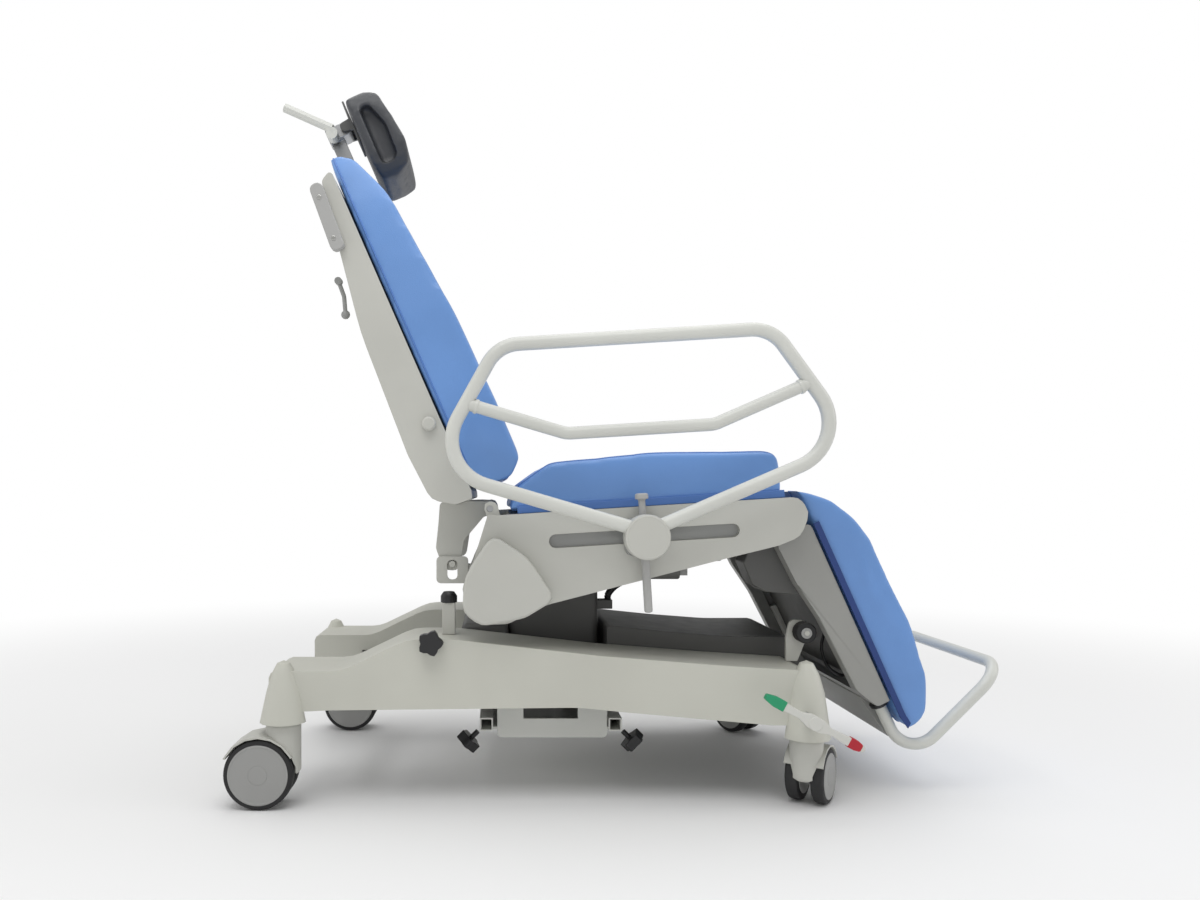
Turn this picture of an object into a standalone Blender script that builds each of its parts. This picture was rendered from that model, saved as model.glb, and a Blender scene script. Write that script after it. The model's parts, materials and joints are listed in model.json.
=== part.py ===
"""Chair trolley that lies down into a stretcher: base, lifting column, seat, back, leg section,
head rest, side rail and castors. Metres, +Z up, foot end towards +X, the patient's right at -Y."""
import math

import bmesh
import bpy
from mathutils import Matrix, Vector

for old_object in list(bpy.data.objects):
    bpy.data.objects.remove(old_object, do_unlink=True)

# ---------------------------------------------------------------- driving dimensions
GAP = 0.0003                # between two pieces that touch
SLIP = 0.0008               # around shafts, pins and slides
CLEAR = 0.003               # between pieces that pass each other

WHEEL_BASE = 0.9475
REAR_CASTOR_X = -0.6237
CASTOR_Y = 0.28
REAR_WHEEL_R = 0.0625
FRONT_WHEEL_R = 0.050
TWIN_WIDTH = 0.070
WHEEL_GAP = 0.020
AXLE_R = 0.006
STEM_R = 0.014

BEAM_INNER_Y = 0.140
BEAM_OUTER_Y = 0.290
COVER_WALL = 0.004
RAIL_Y = 0.215
RAIL_WIDTH = 0.030
FRAME_Z = 0.184
FRAME_DEPTH = 0.026

COLUMN_X = -0.1222
COLUMN_LENGTH = 0.179
COLUMN_WIDTH = 0.180
COLUMN_WALL = 0.005
COLUMN_TOP_Z = 0.410

BACK_HINGE_X = -0.250
BACK_HINGE_Z = 0.536
SEAT_TILT = math.radians(3.5)
BACK_LEAN = math.radians(23.7)
LEG_DROP = math.radians(64.1)
BACK_SWING = math.radians(66.0)
LEG_SWING = math.radians(64.0)
SEAT_LENGTH = 0.5624        # back hinge to leg hinge, along the seat
LEG_HINGE_DROP = 0.0275
HINGE_R = 0.006

SEAT_HALF_WIDTH = 0.270
PLATE_OUTER_Y = 0.285
PLATE_THICK = 0.020
PLATE_TOP = -0.0125
LEG_HALF_WIDTH = 0.250
BACK_LENGTH = 0.685
LEG_LENGTH = 0.472

ROD_R = 0.010
BACK_ROD_Y = -0.200
LEG_ROD_Y = 0.170
BACK_PIN = (-0.0712, -0.105)
LEG_LEVER_R = 0.120
LEG_LEVER_ANGLE = math.radians(-120.0)
LUG_THICK = 0.006

RAIL_TUBE_R = 0.0125
RAIL_PLANE_Y = -0.335
RAIL_HUB_S = 0.2724
GROOVE_T = -0.0655
GROOVE_START = 0.103
GROOVE_END = 0.449
GROOVE_WIDTH = 0.025
GROOVE_DEPTH = 0.010

BOW_TUBE_R = 0.011
BOW_HALF_WIDTH = 0.220
PEDAL_X_BEHIND_CASTOR = 0.0109
PEDAL_Z = 0.1667
PEDAL_INNER_Y = 0.351
PEDAL_THICK = 0.012
SHAFT_R = 0.0075

LIGHT_GREY = ((0.58, 0.58, 0.52), 0.45, 0.0)
CHASSIS_GREY = ((0.44, 0.45, 0.40), 0.45, 0.0)
DARK_GREY = ((0.065, 0.065, 0.065), 0.55, 0.0)
BLACK = ((0.012, 0.012, 0.012), 0.45, 0.0)
STEEL = ((0.40, 0.40, 0.40), 0.35, 1.0)
BLUE = ((0.17, 0.30, 0.64), 0.42, 0.0)
WHEEL_GREY = ((0.33, 0.33, 0.32), 0.5, 0.0)
PEDAL_GREEN = ((0.02, 0.32, 0.16), 0.5, 0.0)

# ---------------------------------------------------------------- collections and finishes
parts = bpy.data.collections.new("stretcher_trolley")
cutters = bpy.data.collections.new("cutters")
bpy.context.scene.collection.children.link(parts)
bpy.context.scene.collection.children.link(cutters)


def finish(obj, look):
    colour, roughness, metallic = look
    material = bpy.data.materials.new(obj.name + "_finish")
    material.use_nodes = True
    shader = material.node_tree.nodes["Principled BSDF"]
    shader.inputs["Base Color"].default_value = (*colour, 1.0)
    shader.inputs["Roughness"].default_value = roughness
    shader.inputs["Metallic"].default_value = metallic
    obj.data.materials.clear()
    obj.data.materials.append(material)


def place(obj, look=None):
    """Links a finished mesh object as a part, or as a cutter when it has no look."""
    if look is None:
        cutters.objects.link(obj)
        obj.hide_render = True
        obj.display_type = 'WIRE'
        return obj
    parts.objects.link(obj)
    finish(obj, look)
    obj.data.shade_smooth()
    obj.data.set_sharp_from_angle(angle=math.radians(35))
    return obj


def as_mesh(obj, name):
    """A curve object made a welded mesh object, where the curve was."""
    bpy.context.scene.collection.objects.link(obj)
    bpy.context.view_layer.update()
    graph = bpy.context.evaluated_depsgraph_get()
    mesh = bpy.data.meshes.new_from_object(obj.evaluated_get(graph))
    welder = bmesh.new()
    welder.from_mesh(mesh)
    bmesh.ops.remove_doubles(welder, verts=welder.verts, dist=0.00001)
    welder.to_mesh(mesh)
    welder.free()
    where = obj.matrix_world.copy()
    bpy.data.objects.remove(obj, do_unlink=True)
    solid = bpy.data.objects.new(name, mesh)
    solid.matrix_world = where
    return solid


# ---------------------------------------------------------------- outlines and paths
def arc_corner(before, corner, after, radius, steps):
    """Points of the arc that rounds one corner of a path, in two or three dimensions."""
    into = before - corner
    out = after - corner
    half = into.angle(out) / 2
    reach = min(radius / math.tan(half), 0.49 * into.length, 0.49 * out.length)
    radius = reach * math.tan(half)
    into.normalize()
    out.normalize()
    centre = corner + (into + out).normalized() * (radius / math.sin(half))
    first = (corner + into * reach - centre).normalized()
    last = (corner + out * reach - centre).normalized()
    side = (last - first * first.dot(last)).normalized()
    sweep = math.pi - 2 * half
    count = max(2, round(steps * sweep / (math.pi / 2)))
    return [centre + radius * (math.cos(sweep * i / count) * first + math.sin(sweep * i / count) * side)
            for i in range(count + 1)]


def rounded(corners, closed=True, steps=2):
    """Path through corners given as coordinates with a radius last; 0 keeps the corner sharp."""
    points = []
    last = len(corners) - 1
    for index, corner in enumerate(corners):
        here = Vector(corner[:-1])
        at_end = not closed and index in (0, last)
        if corner[-1] <= 0 or at_end:
            points.append(here)
            continue
        before = Vector(corners[index - 1][:-1])
        after = Vector(corners[(index + 1) % len(corners)][:-1])
        points += arc_corner(before, here, after, corner[-1], steps)
    return points


def rectangle(x, z, length, height):
    return [(x - length / 2, z - height / 2, 0), (x + length / 2, z - height / 2, 0),
            (x + length / 2, z + height / 2, 0), (x - length / 2, z + height / 2, 0)]


class Frame:
    """A tilted frame in the X-Z plane: first axis along the section, second axis across it."""

    def __init__(self, x, z, along, across):
        self.origin = Vector((x, z))
        self.along = Vector(along)
        self.across = Vector(across)

    def at(self, a, b):
        return self.origin + self.along * a + self.across * b

    def corners(self, local):
        return [(*self.at(a, b), radius) for a, b, radius in local]

    def point(self, a, y, b):
        x, z = self.at(a, b)
        return Vector((x, y, z))

    def matrix(self, a, b, y=0.0):
        """Local X along the section, local Y towards +Y, local Z across the section."""
        x, z = self.at(a, b)
        along = (self.along.x, 0.0, self.along.y)
        across = (self.across.x, 0.0, self.across.y)
        rows = Matrix((along, (0.0, 1.0, 0.0), across)).transposed()
        if rows.determinant() < 0:
            rows = Matrix((along, (0.0, -1.0, 0.0), across)).transposed()
        return Matrix.Translation((x, y, z)) @ rows.to_4x4()


SEAT = Frame(BACK_HINGE_X, BACK_HINGE_Z, (math.cos(SEAT_TILT), math.sin(SEAT_TILT)),
             (-math.sin(SEAT_TILT), math.cos(SEAT_TILT)))
BACK = Frame(BACK_HINGE_X, BACK_HINGE_Z, (-math.sin(BACK_LEAN), math.cos(BACK_LEAN)),
             (math.cos(BACK_LEAN), math.sin(BACK_LEAN)))
LEG_HINGE = SEAT.at(SEAT_LENGTH, -LEG_HINGE_DROP)
LEG = Frame(*LEG_HINGE, (math.cos(LEG_DROP), -math.sin(LEG_DROP)), (math.sin(LEG_DROP), math.cos(LEG_DROP)))
FRONT_CASTOR_X = REAR_CASTOR_X + WHEEL_BASE


# ---------------------------------------------------------------- solids
def prism(name, outline, low, high, look=None, matrix=None, holes=()):
    """A flat outline as a solid. Without a matrix it stands in X-Z and runs from y=low to y=high."""
    curve = bpy.data.curves.new(name, 'CURVE')
    curve.dimensions = '2D'
    curve.fill_mode = 'BOTH'
    curve.extrude = (high - low) / 2
    for loop in (outline, *holes):
        spline = curve.splines.new('POLY')
        spline.points.add(len(loop) - 1)
        for point, place_2d in zip(spline.points, loop):
            point.co = (place_2d[0], place_2d[1], 0, 1)
        spline.use_cyclic_u = True
    obj = bpy.data.objects.new(name, curve)
    middle = (low + high) / 2
    if matrix is None:
        obj.matrix_world = Matrix.Translation((0, middle, 0)) @ Matrix.Rotation(math.pi / 2, 4, 'X')
    else:
        obj.matrix_world = matrix @ Matrix.Translation((0, 0, middle))
    return place(as_mesh(obj, name), look)


def block(name, low, high, look=None, matrix=None):
    """A box between two corners, in the world or in the frame that the matrix gives."""
    size = Vector(high) - Vector(low)
    centre = (Vector(high) + Vector(low)) / 2
    shaper = bmesh.new()
    scale = Matrix.Diagonal((*size, 1.0))
    bmesh.ops.create_cube(shaper, size=1.0, matrix=Matrix.Translation(centre) @ scale)
    mesh = bpy.data.meshes.new(name)
    shaper.to_mesh(mesh)
    shaper.free()
    obj = bpy.data.objects.new(name, mesh)
    if matrix is not None:
        obj.matrix_world = matrix
    return place(obj, look)


def rod(name, start, end, radius, look=None, sides=12, end_radius=None):
    """A straight round bar, or a taper when its end has another radius."""
    start = Vector(start)
    end = Vector(end)
    shaper = bmesh.new()
    bmesh.ops.create_cone(shaper, cap_ends=True, segments=sides, radius1=radius,
                          radius2=radius if end_radius is None else end_radius, depth=(end - start).length)
    mesh = bpy.data.meshes.new(name)
    shaper.to_mesh(mesh)
    shaper.free()
    obj = bpy.data.objects.new(name, mesh)
    turn = (end - start).to_track_quat('Z', 'Y').to_matrix().to_4x4()
    obj.matrix_world = Matrix.Translation((start + end) / 2) @ turn
    return place(obj, look)


def tube(name, points, radius, look=None, smoothness=2, closed=False):
    curve = bpy.data.curves.new(name, 'CURVE')
    curve.dimensions = '3D'
    curve.bevel_depth = radius
    curve.bevel_resolution = smoothness
    curve.use_fill_caps = not closed
    spline = curve.splines.new('POLY')
    spline.points.add(len(points) - 1)
    for point, place_3d in zip(spline.points, points):
        point.co = (*place_3d, 1)
    spline.use_cyclic_u = closed
    return place(as_mesh(bpy.data.objects.new(name, curve), name), look)


def turned(name, profile, origin, axis, look=None, steps=16):
    """A profile of (radius, height), top to bottom and closed on the axis, turned about the axis."""
    mesh = bpy.data.meshes.new(name)
    mesh.from_pydata([(radius, 0, height) for radius, height in profile],
                     [(i, i + 1) for i in range(len(profile) - 1)], [])
    obj = bpy.data.objects.new(name, mesh)
    turn = Vector(axis).to_track_quat('Z', 'Y').to_matrix().to_4x4()
    obj.matrix_world = Matrix.Translation(origin) @ turn
    screw = obj.modifiers.new("turn", 'SCREW')
    screw.steps = steps
    screw.render_steps = steps
    screw.use_merge_vertices = True
    screw.merge_threshold = 0.00001
    bpy.context.scene.collection.objects.link(obj)
    bpy.context.view_layer.update()
    graph = bpy.context.evaluated_depsgraph_get()
    shape = bpy.data.meshes.new_from_object(obj.evaluated_get(graph))
    where = obj.matrix_world.copy()
    bpy.data.objects.remove(obj, do_unlink=True)
    solid = bpy.data.objects.new(name, shape)
    solid.matrix_world = where
    return place(solid, look)


def soften(obj, width, segments=1, angle=50):
    bevel = obj.modifiers.new("rounded_edges", 'BEVEL')
    bevel.width = width
    bevel.segments = segments
    bevel.limit_method = 'ANGLE'
    bevel.angle_limit = math.radians(angle)


def combine(obj, others, operation):
    for other in others:
        step = obj.modifiers.new(operation.lower(), 'BOOLEAN')
        step.operation = operation
        step.object = other


def join(obj, *others):
    combine(obj, others, 'UNION')


def cut(obj, *others):
    combine(obj, others, 'DIFFERENCE')


def on_axis(name, location, objects, parent=None):
    """An empty on a joint's axis, which carries the pieces that move about it."""
    axis = bpy.data.objects.new(name, None)
    parts.objects.link(axis)
    axis.location = location
    bpy.context.view_layer.update()
    if parent is not None:
        axis.parent = parent
        axis.matrix_parent_inverse = parent.matrix_world.inverted()
    for obj in objects:
        obj.parent = axis
        obj.matrix_parent_inverse = Matrix.Translation(location).inverted()
    return axis


SIDES = (("right", -1), ("left", 1))


# ---------------------------------------------------------------- base
FRAME_TOP = FRAME_Z + FRAME_DEPTH
PLATE_REAR_X = COLUMN_X - 0.184
PLATE_FRONT_X = COLUMN_X + 0.342
PLATE_Z = 0.166
CROSS_REAR_X = REAR_CASTOR_X + 0.103
CROSS_FRONT_X = FRONT_CASTOR_X - 0.0645
CROSS_HALF = 0.020
BOSS_R = 0.0225
REAR_COWL_Z = 0.152
FRONT_COWL_Z = 0.123
SHAFT_X = FRONT_CASTOR_X - PEDAL_X_BEHIND_CASTOR
STEM_RISE = 0.027           # castor stem above the cowl's lower rim


def span(y_a, y_b):
    return min(y_a, y_b), max(y_a, y_b)


def make_base_frame():
    frame = block("base_frame", (PLATE_REAR_X, -RAIL_Y, PLATE_Z), (PLATE_FRONT_X, RAIL_Y, FRAME_Z + 0.002), STEEL)
    pieces = []
    for side, sign in SIDES:
        low, high = span(sign * (RAIL_Y - RAIL_WIDTH / 2), sign * (RAIL_Y + RAIL_WIDTH / 2))
        pieces.append(block("rail_" + side, (REAR_CASTOR_X, low, FRAME_Z), (FRONT_CASTOR_X, high, FRAME_TOP)))
        for end, x, cowl in (("rear", REAR_CASTOR_X, REAR_COWL_Z), ("front", FRONT_CASTOR_X, FRONT_COWL_Z)):
            pieces.append(rod("boss_" + end + side, (x, sign * CASTOR_Y, cowl + 0.006),
                              (x, sign * CASTOR_Y, FRAME_TOP - 0.001), BOSS_R))
            low, high = span(sign * (RAIL_Y - 0.004), sign * CASTOR_Y)
            pieces.append(block("arm_" + end + side, (x - 0.016, low, FRAME_Z + 0.001),
                                (x + 0.016, high, FRAME_TOP - 0.002)))
    for end, x in (("rear", CROSS_REAR_X), ("front", CROSS_FRONT_X)):
        pieces.append(block("cross_" + end, (x - CROSS_HALF, -RAIL_Y, FRAME_Z + 0.003),
                            (x + CROSS_HALF, RAIL_Y, FRAME_TOP - 0.003)))
    join(frame, *pieces)
    for side, sign in SIDES:
        for end, x, cowl in (("rear", REAR_CASTOR_X, REAR_COWL_Z), ("front", FRONT_CASTOR_X, FRONT_COWL_Z)):
            cut(frame, rod("stem_bore_" + end + side, (x, sign * CASTOR_Y, cowl - 0.01),
                           (x, sign * CASTOR_Y, cowl + STEM_RISE + CLEAR / 2), STEM_R + SLIP))
    cut(frame, rod("shaft_bore", (SHAFT_X, -0.4, PEDAL_Z), (SHAFT_X, 0.4, PEDAL_Z), SHAFT_R + 0.0012))
    return frame


def beam_corners(inset, deeper):
    """Side outline of a beam cover, shrunk by inset at top and ends, with its underside moved down."""
    rear = REAR_CASTOR_X
    front = FRONT_CASTOR_X
    return [
        (rear - 0.025 + inset, 0.168 - deeper, 0), (rear - 0.025 + inset, 0.2435 - inset, 0.012),
        (rear + 0.105, 0.2435 - inset, 0.08), (rear + 0.225, 0.301 - inset, 0.09),
        (rear + 0.305, 0.301 - inset, 0.20), (rear + 0.573, 0.271 - inset, 0.5),
        (front - 0.16, 0.254 - inset, 0.5), (front + 0.022 - inset, 0.243 - inset, 0.03),
        (front + 0.022 - inset, 0.146 - deeper, 0), (front - 0.0645, 0.146 - deeper, 0.08),
        (front - 0.3345, 0.170 - deeper, 0.4), (rear + 0.533, 0.178 - deeper, 0.3),
        (rear + 0.083, 0.173 - deeper, 0.1)]


def cowl_profile(rim_z):
    """Bell over a castor's stem, as radius and height, top to bottom."""
    return [(0, 0.262), (0.012, 0.257), (0.022, 0.238), (0.0315, 0.205), (0.043, rim_z), (0, rim_z)]


def make_beam_cover(side, sign):
    low, high = span(sign * BEAM_INNER_Y, sign * BEAM_OUTER_Y)
    cover = prism("beam_cover_" + side, rounded(beam_corners(0, 0), steps=2), low, high, CHASSIS_GREY)
    soften(cover, 0.009, angle=60)
    for end, x, rim in (("rear", REAR_CASTOR_X, REAR_COWL_Z), ("front", FRONT_CASTOR_X, FRONT_COWL_Z)):
        join(cover, turned("cowl_" + end + side, cowl_profile(rim), (x, sign * CASTOR_Y, 0), (0, 0, 1)))
    low, high = span(sign * (BEAM_INNER_Y + COVER_WALL), sign * (BEAM_OUTER_Y - COVER_WALL))
    cut(cover, prism("beam_hollow_" + side, rounded(beam_corners(COVER_WALL, 0.03), steps=2), low, high))
    for end, x, rim in (("rear", REAR_CASTOR_X, REAR_COWL_Z), ("front", FRONT_CASTOR_X, FRONT_COWL_Z)):
        cut(cover, rod("cowl_hollow_" + end + side, (x, sign * CASTOR_Y, rim - 0.02),
                       (x, sign * CASTOR_Y, FRAME_TOP + 0.0025), BOSS_R + 0.0023, sides=14))
    notch_y = span(sign * (BEAM_INNER_Y - 0.02), sign * (BEAM_INNER_Y + 0.02))
    for name, x_low, x_high, top in (
            ("rear", CROSS_REAR_X - CROSS_HALF, CROSS_REAR_X + CROSS_HALF, FRAME_TOP),
            ("front", CROSS_FRONT_X - CROSS_HALF, CROSS_FRONT_X + CROSS_HALF, FRAME_TOP),
            ("plate", PLATE_REAR_X, PLATE_FRONT_X, FRAME_Z + 0.003)):
        cut(cover, block("cover_notch_" + name + side, (x_low - 0.001, notch_y[0], 0.10),
                         (x_high + 0.001, notch_y[1], top)))
    cut(cover, rod("cover_shaft_hole_" + side, (SHAFT_X, sign * 0.10, PEDAL_Z), (SHAFT_X, sign * 0.36, PEDAL_Z),
                   SHAFT_R + 0.002))
    return cover


def centre_corners(inset, deeper):
    rear = COLUMN_X + COLUMN_LENGTH / 2 + 0.012 + inset
    front = FRONT_CASTOR_X + 0.0495 - inset
    return [(rear, 0.186 - deeper, 0), (rear, 0.305 - inset, 0.006),
            (rear + 0.126, 0.292 - inset, 0.4), (front - 0.144, 0.2825 - inset, 0.4),
            (front - 0.034, 0.283 - inset, 0.02), (front - 0.012, 0.249 - inset, 0.05),
            (front, 0.224 - inset, 0.02), (front, 0.186 - deeper, 0)]


def make_centre_cover():
    half = BEAM_INNER_Y - 0.0015
    cover = prism("centre_cover", rounded(centre_corners(0, 0), steps=3), -half, half, DARK_GREY)
    soften(cover, 0.006, angle=60)
    inner = half - COVER_WALL
    cut(cover, prism("centre_hollow", rounded(centre_corners(COVER_WALL, 0.03), steps=3), -inner, inner))
    cut(cover, block("centre_notch", (CROSS_FRONT_X - CROSS_HALF - 0.001, -0.2, 0.15),
                     (CROSS_FRONT_X + CROSS_HALF + 0.001, 0.2, FRAME_TOP)))
    cut(cover, block("centre_plate_notch", (COLUMN_X, -0.2, 0.15), (PLATE_FRONT_X + 0.001, 0.2, FRAME_Z + 0.003)))
    return cover


def make_square_tube(name, size, wall, low, high, look, floor=0.0):
    """Upright square tube about its own axis, open at the top, with an optional floor."""
    half = size / 2
    inner = half - wall
    post = block(name, (-half, -half, low), (half, half, high), look)
    cut(post, block(name + "_bore", (-inner, -inner, low - 0.01 if floor == 0 else low + floor),
                    (inner, inner, high + 0.01)))
    return post


def move(obj, offset):
    """Moves an object with the cutters that its modifiers use."""
    shift = Matrix.Translation(offset)
    obj.matrix_world = shift @ obj.matrix_world
    for modifier in obj.modifiers:
        if modifier.type == 'BOOLEAN':
            modifier.object.matrix_world = shift @ modifier.object.matrix_world


def star_knob(name, centre, axis, stem_length):
    """Five-lobed hand knob: head outward along axis, stem inward."""
    lobes = 5
    steps = 20
    outline = []
    for i in range(steps):
        angle = 2 * math.pi * i / steps
        radius = 0.0205 + 0.003 * math.cos(lobes * angle)
        outline.append((radius * math.cos(angle), radius * math.sin(angle)))
    axis = Vector(axis).normalized()
    turn = Matrix.Translation(centre) @ axis.to_track_quat('Z', 'Y').to_matrix().to_4x4()
    head = prism(name, outline, 0.0, 0.018, BLACK, matrix=turn)
    join(head, rod(name + "_stem", Vector(centre) + axis * 0.002, Vector(centre) - axis * stem_length, 0.005,
                   sides=12))
    return head


base_frame = make_base_frame()
beam_covers = [make_beam_cover(side, sign) for side, sign in SIDES]
centre_cover = make_centre_cover()

BASE_PLATE_TOP = FRAME_Z + 0.002
power_unit = block("power_unit", (COLUMN_X + 0.14, -0.105, BASE_PLATE_TOP + GAP), (COLUMN_X + 0.335, 0.105, 0.262),
                   DARK_GREY)
soften(power_unit, 0.006)

BOX_FRONT_X = COLUMN_X - COLUMN_LENGTH / 2 - CLEAR
column_box = block("column_box", (BOX_FRONT_X - 0.092, -0.128, BASE_PLATE_TOP + GAP), (BOX_FRONT_X, 0.128, 0.307),
                   LIGHT_GREY)
soften(column_box, 0.008)


def sleeve_size(stage):
    """Half length and half width of a column stage, 0 outermost."""
    step = (COLUMN_WALL + 0.002) * stage
    return COLUMN_LENGTH / 2 - step, COLUMN_WIDTH / 2 - step


def column_stage(name, stage, low, high, look):
    length, width = sleeve_size(stage)
    outline = rounded([(x, y, 0.014) for x, y, _ in rectangle(COLUMN_X, 0, 2 * length, 2 * width)], steps=3)
    inner_length = length - COLUMN_WALL
    inner_width = width - COLUMN_WALL
    hole = rounded([(x, y, 0.010) for x, y, _ in rectangle(COLUMN_X, 0, 2 * inner_length, 2 * inner_width)],
                   steps=3)
    return prism(name, outline, low, high, look, matrix=Matrix.Identity(4), holes=[hole])


COLUMN_FOOT_Z = BASE_PLATE_TOP + GAP
column_post = column_stage("column_post", 2, COLUMN_FOOT_Z, COLUMN_TOP_Z - 0.012, STEEL)
column_middle = column_stage("column_middle", 1, COLUMN_FOOT_Z + 0.004, COLUMN_TOP_Z - 0.005, STEEL)
column_sleeve = column_stage("column_sleeve", 0, COLUMN_FOOT_Z + 0.008, COLUMN_TOP_Z, DARK_GREY)

POLE_X = COLUMN_X - 0.205
POLE_Y = -0.220
BEAM_TOP_Z = 0.301
POLE_TOP_Z = 0.360
pole_socket = make_square_tube("pole_socket", 0.024, 0.0025, BEAM_TOP_Z + GAP, POLE_TOP_Z, LIGHT_GREY, floor=0.003)
move(pole_socket, (POLE_X, POLE_Y, 0))
socket_cap = turned("socket_cap", [(0, 0.020), (0.010, 0.020), (0.0155, 0.012), (0.0155, 0.0), (0.0075, 0.0),
                                   (0.0075, -0.018), (0, -0.018)],
                    (POLE_X, POLE_Y, POLE_TOP_Z + GAP), (0, 0, 1), BLACK)
KNOB_FACE_Y = BEAM_OUTER_Y + GAP
pole_knob = star_knob("pole_knob", (POLE_X - 0.0286, -(KNOB_FACE_Y + 0.008), BEAM_TOP_Z - 0.004), (0, -1, 0), 0.0078)

CARRIER_Y = 0.205
CARRIER_LOW_Z = 0.102
SOCKET = 0.025
SOCKET_Z = 0.1282
SOCKET_REAR_X = COLUMN_X - 0.1347
SOCKET_FRONT_X = COLUMN_X + 0.1085


def make_carrier():
    low_x = SOCKET_REAR_X + SOCKET / 2
    high_x = SOCKET_FRONT_X - SOCKET / 2
    pan = block("carrier", (low_x - 0.002, -CARRIER_Y, 0.118), (high_x + 0.002, CARRIER_Y, 0.123), LIGHT_GREY)
    for side, sign in SIDES:
        y_low, y_high = span(sign * (CARRIER_Y - 0.005), sign * CARRIER_Y)
        slot = rounded(rectangle((low_x + high_x) / 2, 0.150, 0.103, 0.024), steps=1)
        join(pan, prism("carrier_plate_" + side, rounded(
            [(low_x + 0.008, CARRIER_LOW_Z, 0.008), (high_x - 0.002, CARRIER_LOW_Z, 0.008),
             (high_x - 0.002, PLATE_Z - GAP, 0), (low_x + 0.008, PLATE_Z - GAP, 0)]), y_low, y_high, holes=[slot]))
    for x in (SOCKET_REAR_X, SOCKET_FRONT_X):
        half = SOCKET / 2
        reach = CARRIER_Y + 0.006
        join(pan, block("socket", (x - half, -reach, SOCKET_Z - half), (x + half, reach, SOCKET_Z + half)))
    for x in (SOCKET_REAR_X, SOCKET_FRONT_X):
        half = SOCKET / 2 - 0.003
        cut(pan, block("socket_bore", (x - half, -0.3, SOCKET_Z - half), (x + half, 0.3, SOCKET_Z + half)))
    return pan


carrier = make_carrier()
DIAGONAL = math.sqrt(0.5)
KNOB_STAND = 0.0400
CORNER_REACH = SOCKET / 2 * math.sqrt(2)


def carrier_knob(name, x, sign):
    centre = (x + sign * KNOB_STAND * DIAGONAL, -CARRIER_Y + 0.010, SOCKET_Z - KNOB_STAND * DIAGONAL)
    return star_knob(name, centre, (sign, 0, -1), KNOB_STAND - CORNER_REACH - 0.005 - GAP)


carrier_knobs = [carrier_knob("carrier_knob_rear", SOCKET_REAR_X, -1),
                 carrier_knob("carrier_knob_front", SOCKET_FRONT_X, 1)]

ROLLER_X = FRONT_CASTOR_X + 0.018
ROLLER_Z = 0.3027
ROLLER_R = 0.020
ROLLER_Y = -0.215
roller_bracket = prism("roller_bracket", rounded(
    [(ROLLER_X - 0.030, 0.2455, 0), (ROLLER_X - 0.008, 0.2455, 0), (ROLLER_X + 0.008, 0.285, 0.01),
     (ROLLER_X + 0.014, 0.3225, 0.012), (ROLLER_X - 0.022, 0.3245, 0.012), (ROLLER_X - 0.030, 0.290, 0.02)],
    steps=3), ROLLER_Y + 0.016, ROLLER_Y + 0.024, LIGHT_GREY)
join(roller_bracket, rod("roller_axle", (ROLLER_X, ROLLER_Y - 0.016, ROLLER_Z),
                         (ROLLER_X, ROLLER_Y + 0.020, ROLLER_Z), 0.005, sides=12))
buffer_roller = rod("buffer_roller", (ROLLER_X, ROLLER_Y - 0.013, ROLLER_Z), (ROLLER_X, ROLLER_Y + 0.014, ROLLER_Z),
                    ROLLER_R, BLACK, sides=20)
soften(buffer_roller, 0.004, segments=2)
cut(buffer_roller, rod("roller_bore", (ROLLER_X, ROLLER_Y - 0.05, ROLLER_Z), (ROLLER_X, ROLLER_Y + 0.05, ROLLER_Z),
                       0.005 + SLIP))

# ---------------------------------------------------------------- brake
SHAFT_END_Y = PEDAL_INNER_Y + 0.004
brake_shaft = rod("brake_shaft", (SHAFT_X, -SHAFT_END_Y, PEDAL_Z), (SHAFT_X, SHAFT_END_Y, PEDAL_Z), SHAFT_R, STEEL,
                  sides=6)
PEDAL_SLOPE = math.radians(-28.6)
PEDAL = Frame(SHAFT_X, PEDAL_Z, (math.cos(PEDAL_SLOPE), math.sin(PEDAL_SLOPE)),
              (-math.sin(PEDAL_SLOPE), math.cos(PEDAL_SLOPE)))


def make_pedal(side, sign):
    half = []
    for a, b, radius in ((-0.097, -0.0055, 0.006), (-0.075, -0.0085, 0.02), (-0.030, -0.0055, 0.02),
                         (-0.012, -0.0120, 0.012), (0.012, -0.0120, 0.012), (0.030, -0.0055, 0.02),
                         (0.075, -0.0085, 0.02), (0.097, -0.0055, 0.006)):
        half.append((a, b, radius))
    upper = [(a, -b, radius) for a, b, radius in reversed(half)]
    low, high = span(sign * PEDAL_INNER_Y, sign * (PEDAL_INNER_Y + PEDAL_THICK))
    pedal = prism("brake_pedal_" + side, rounded(PEDAL.corners(half + upper), steps=2), low, high, PEDAL_GREEN)
    cut(pedal, rod("pedal_bore_" + side, (SHAFT_X, sign * (PEDAL_INNER_Y - 0.01), PEDAL_Z),
                   (SHAFT_X, sign * (SHAFT_END_Y + GAP), PEDAL_Z), SHAFT_R + GAP, sides=6))
    return pedal


brake_pedals = [make_pedal(side, sign) for side, sign in SIDES]
on_axis("brake_axis", (SHAFT_X, 0, PEDAL_Z), [brake_shaft, *brake_pedals])


# ---------------------------------------------------------------- castors
def wheel_profile(radius, width):
    """Twin wheels and their axle as one turned shape: radius and height, top to bottom."""
    outer = width / 2
    inner = WHEEL_GAP / 2
    disc = radius * 0.864
    half = [(0, outer - 0.004), (disc, outer - 0.001), (radius - 0.002, outer), (radius, outer - 0.004),
            (radius, inner + 0.004), (radius - 0.003, inner), (AXLE_R, inner)]
    return half + [(r, -h) for r, h in reversed(half)]


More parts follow.
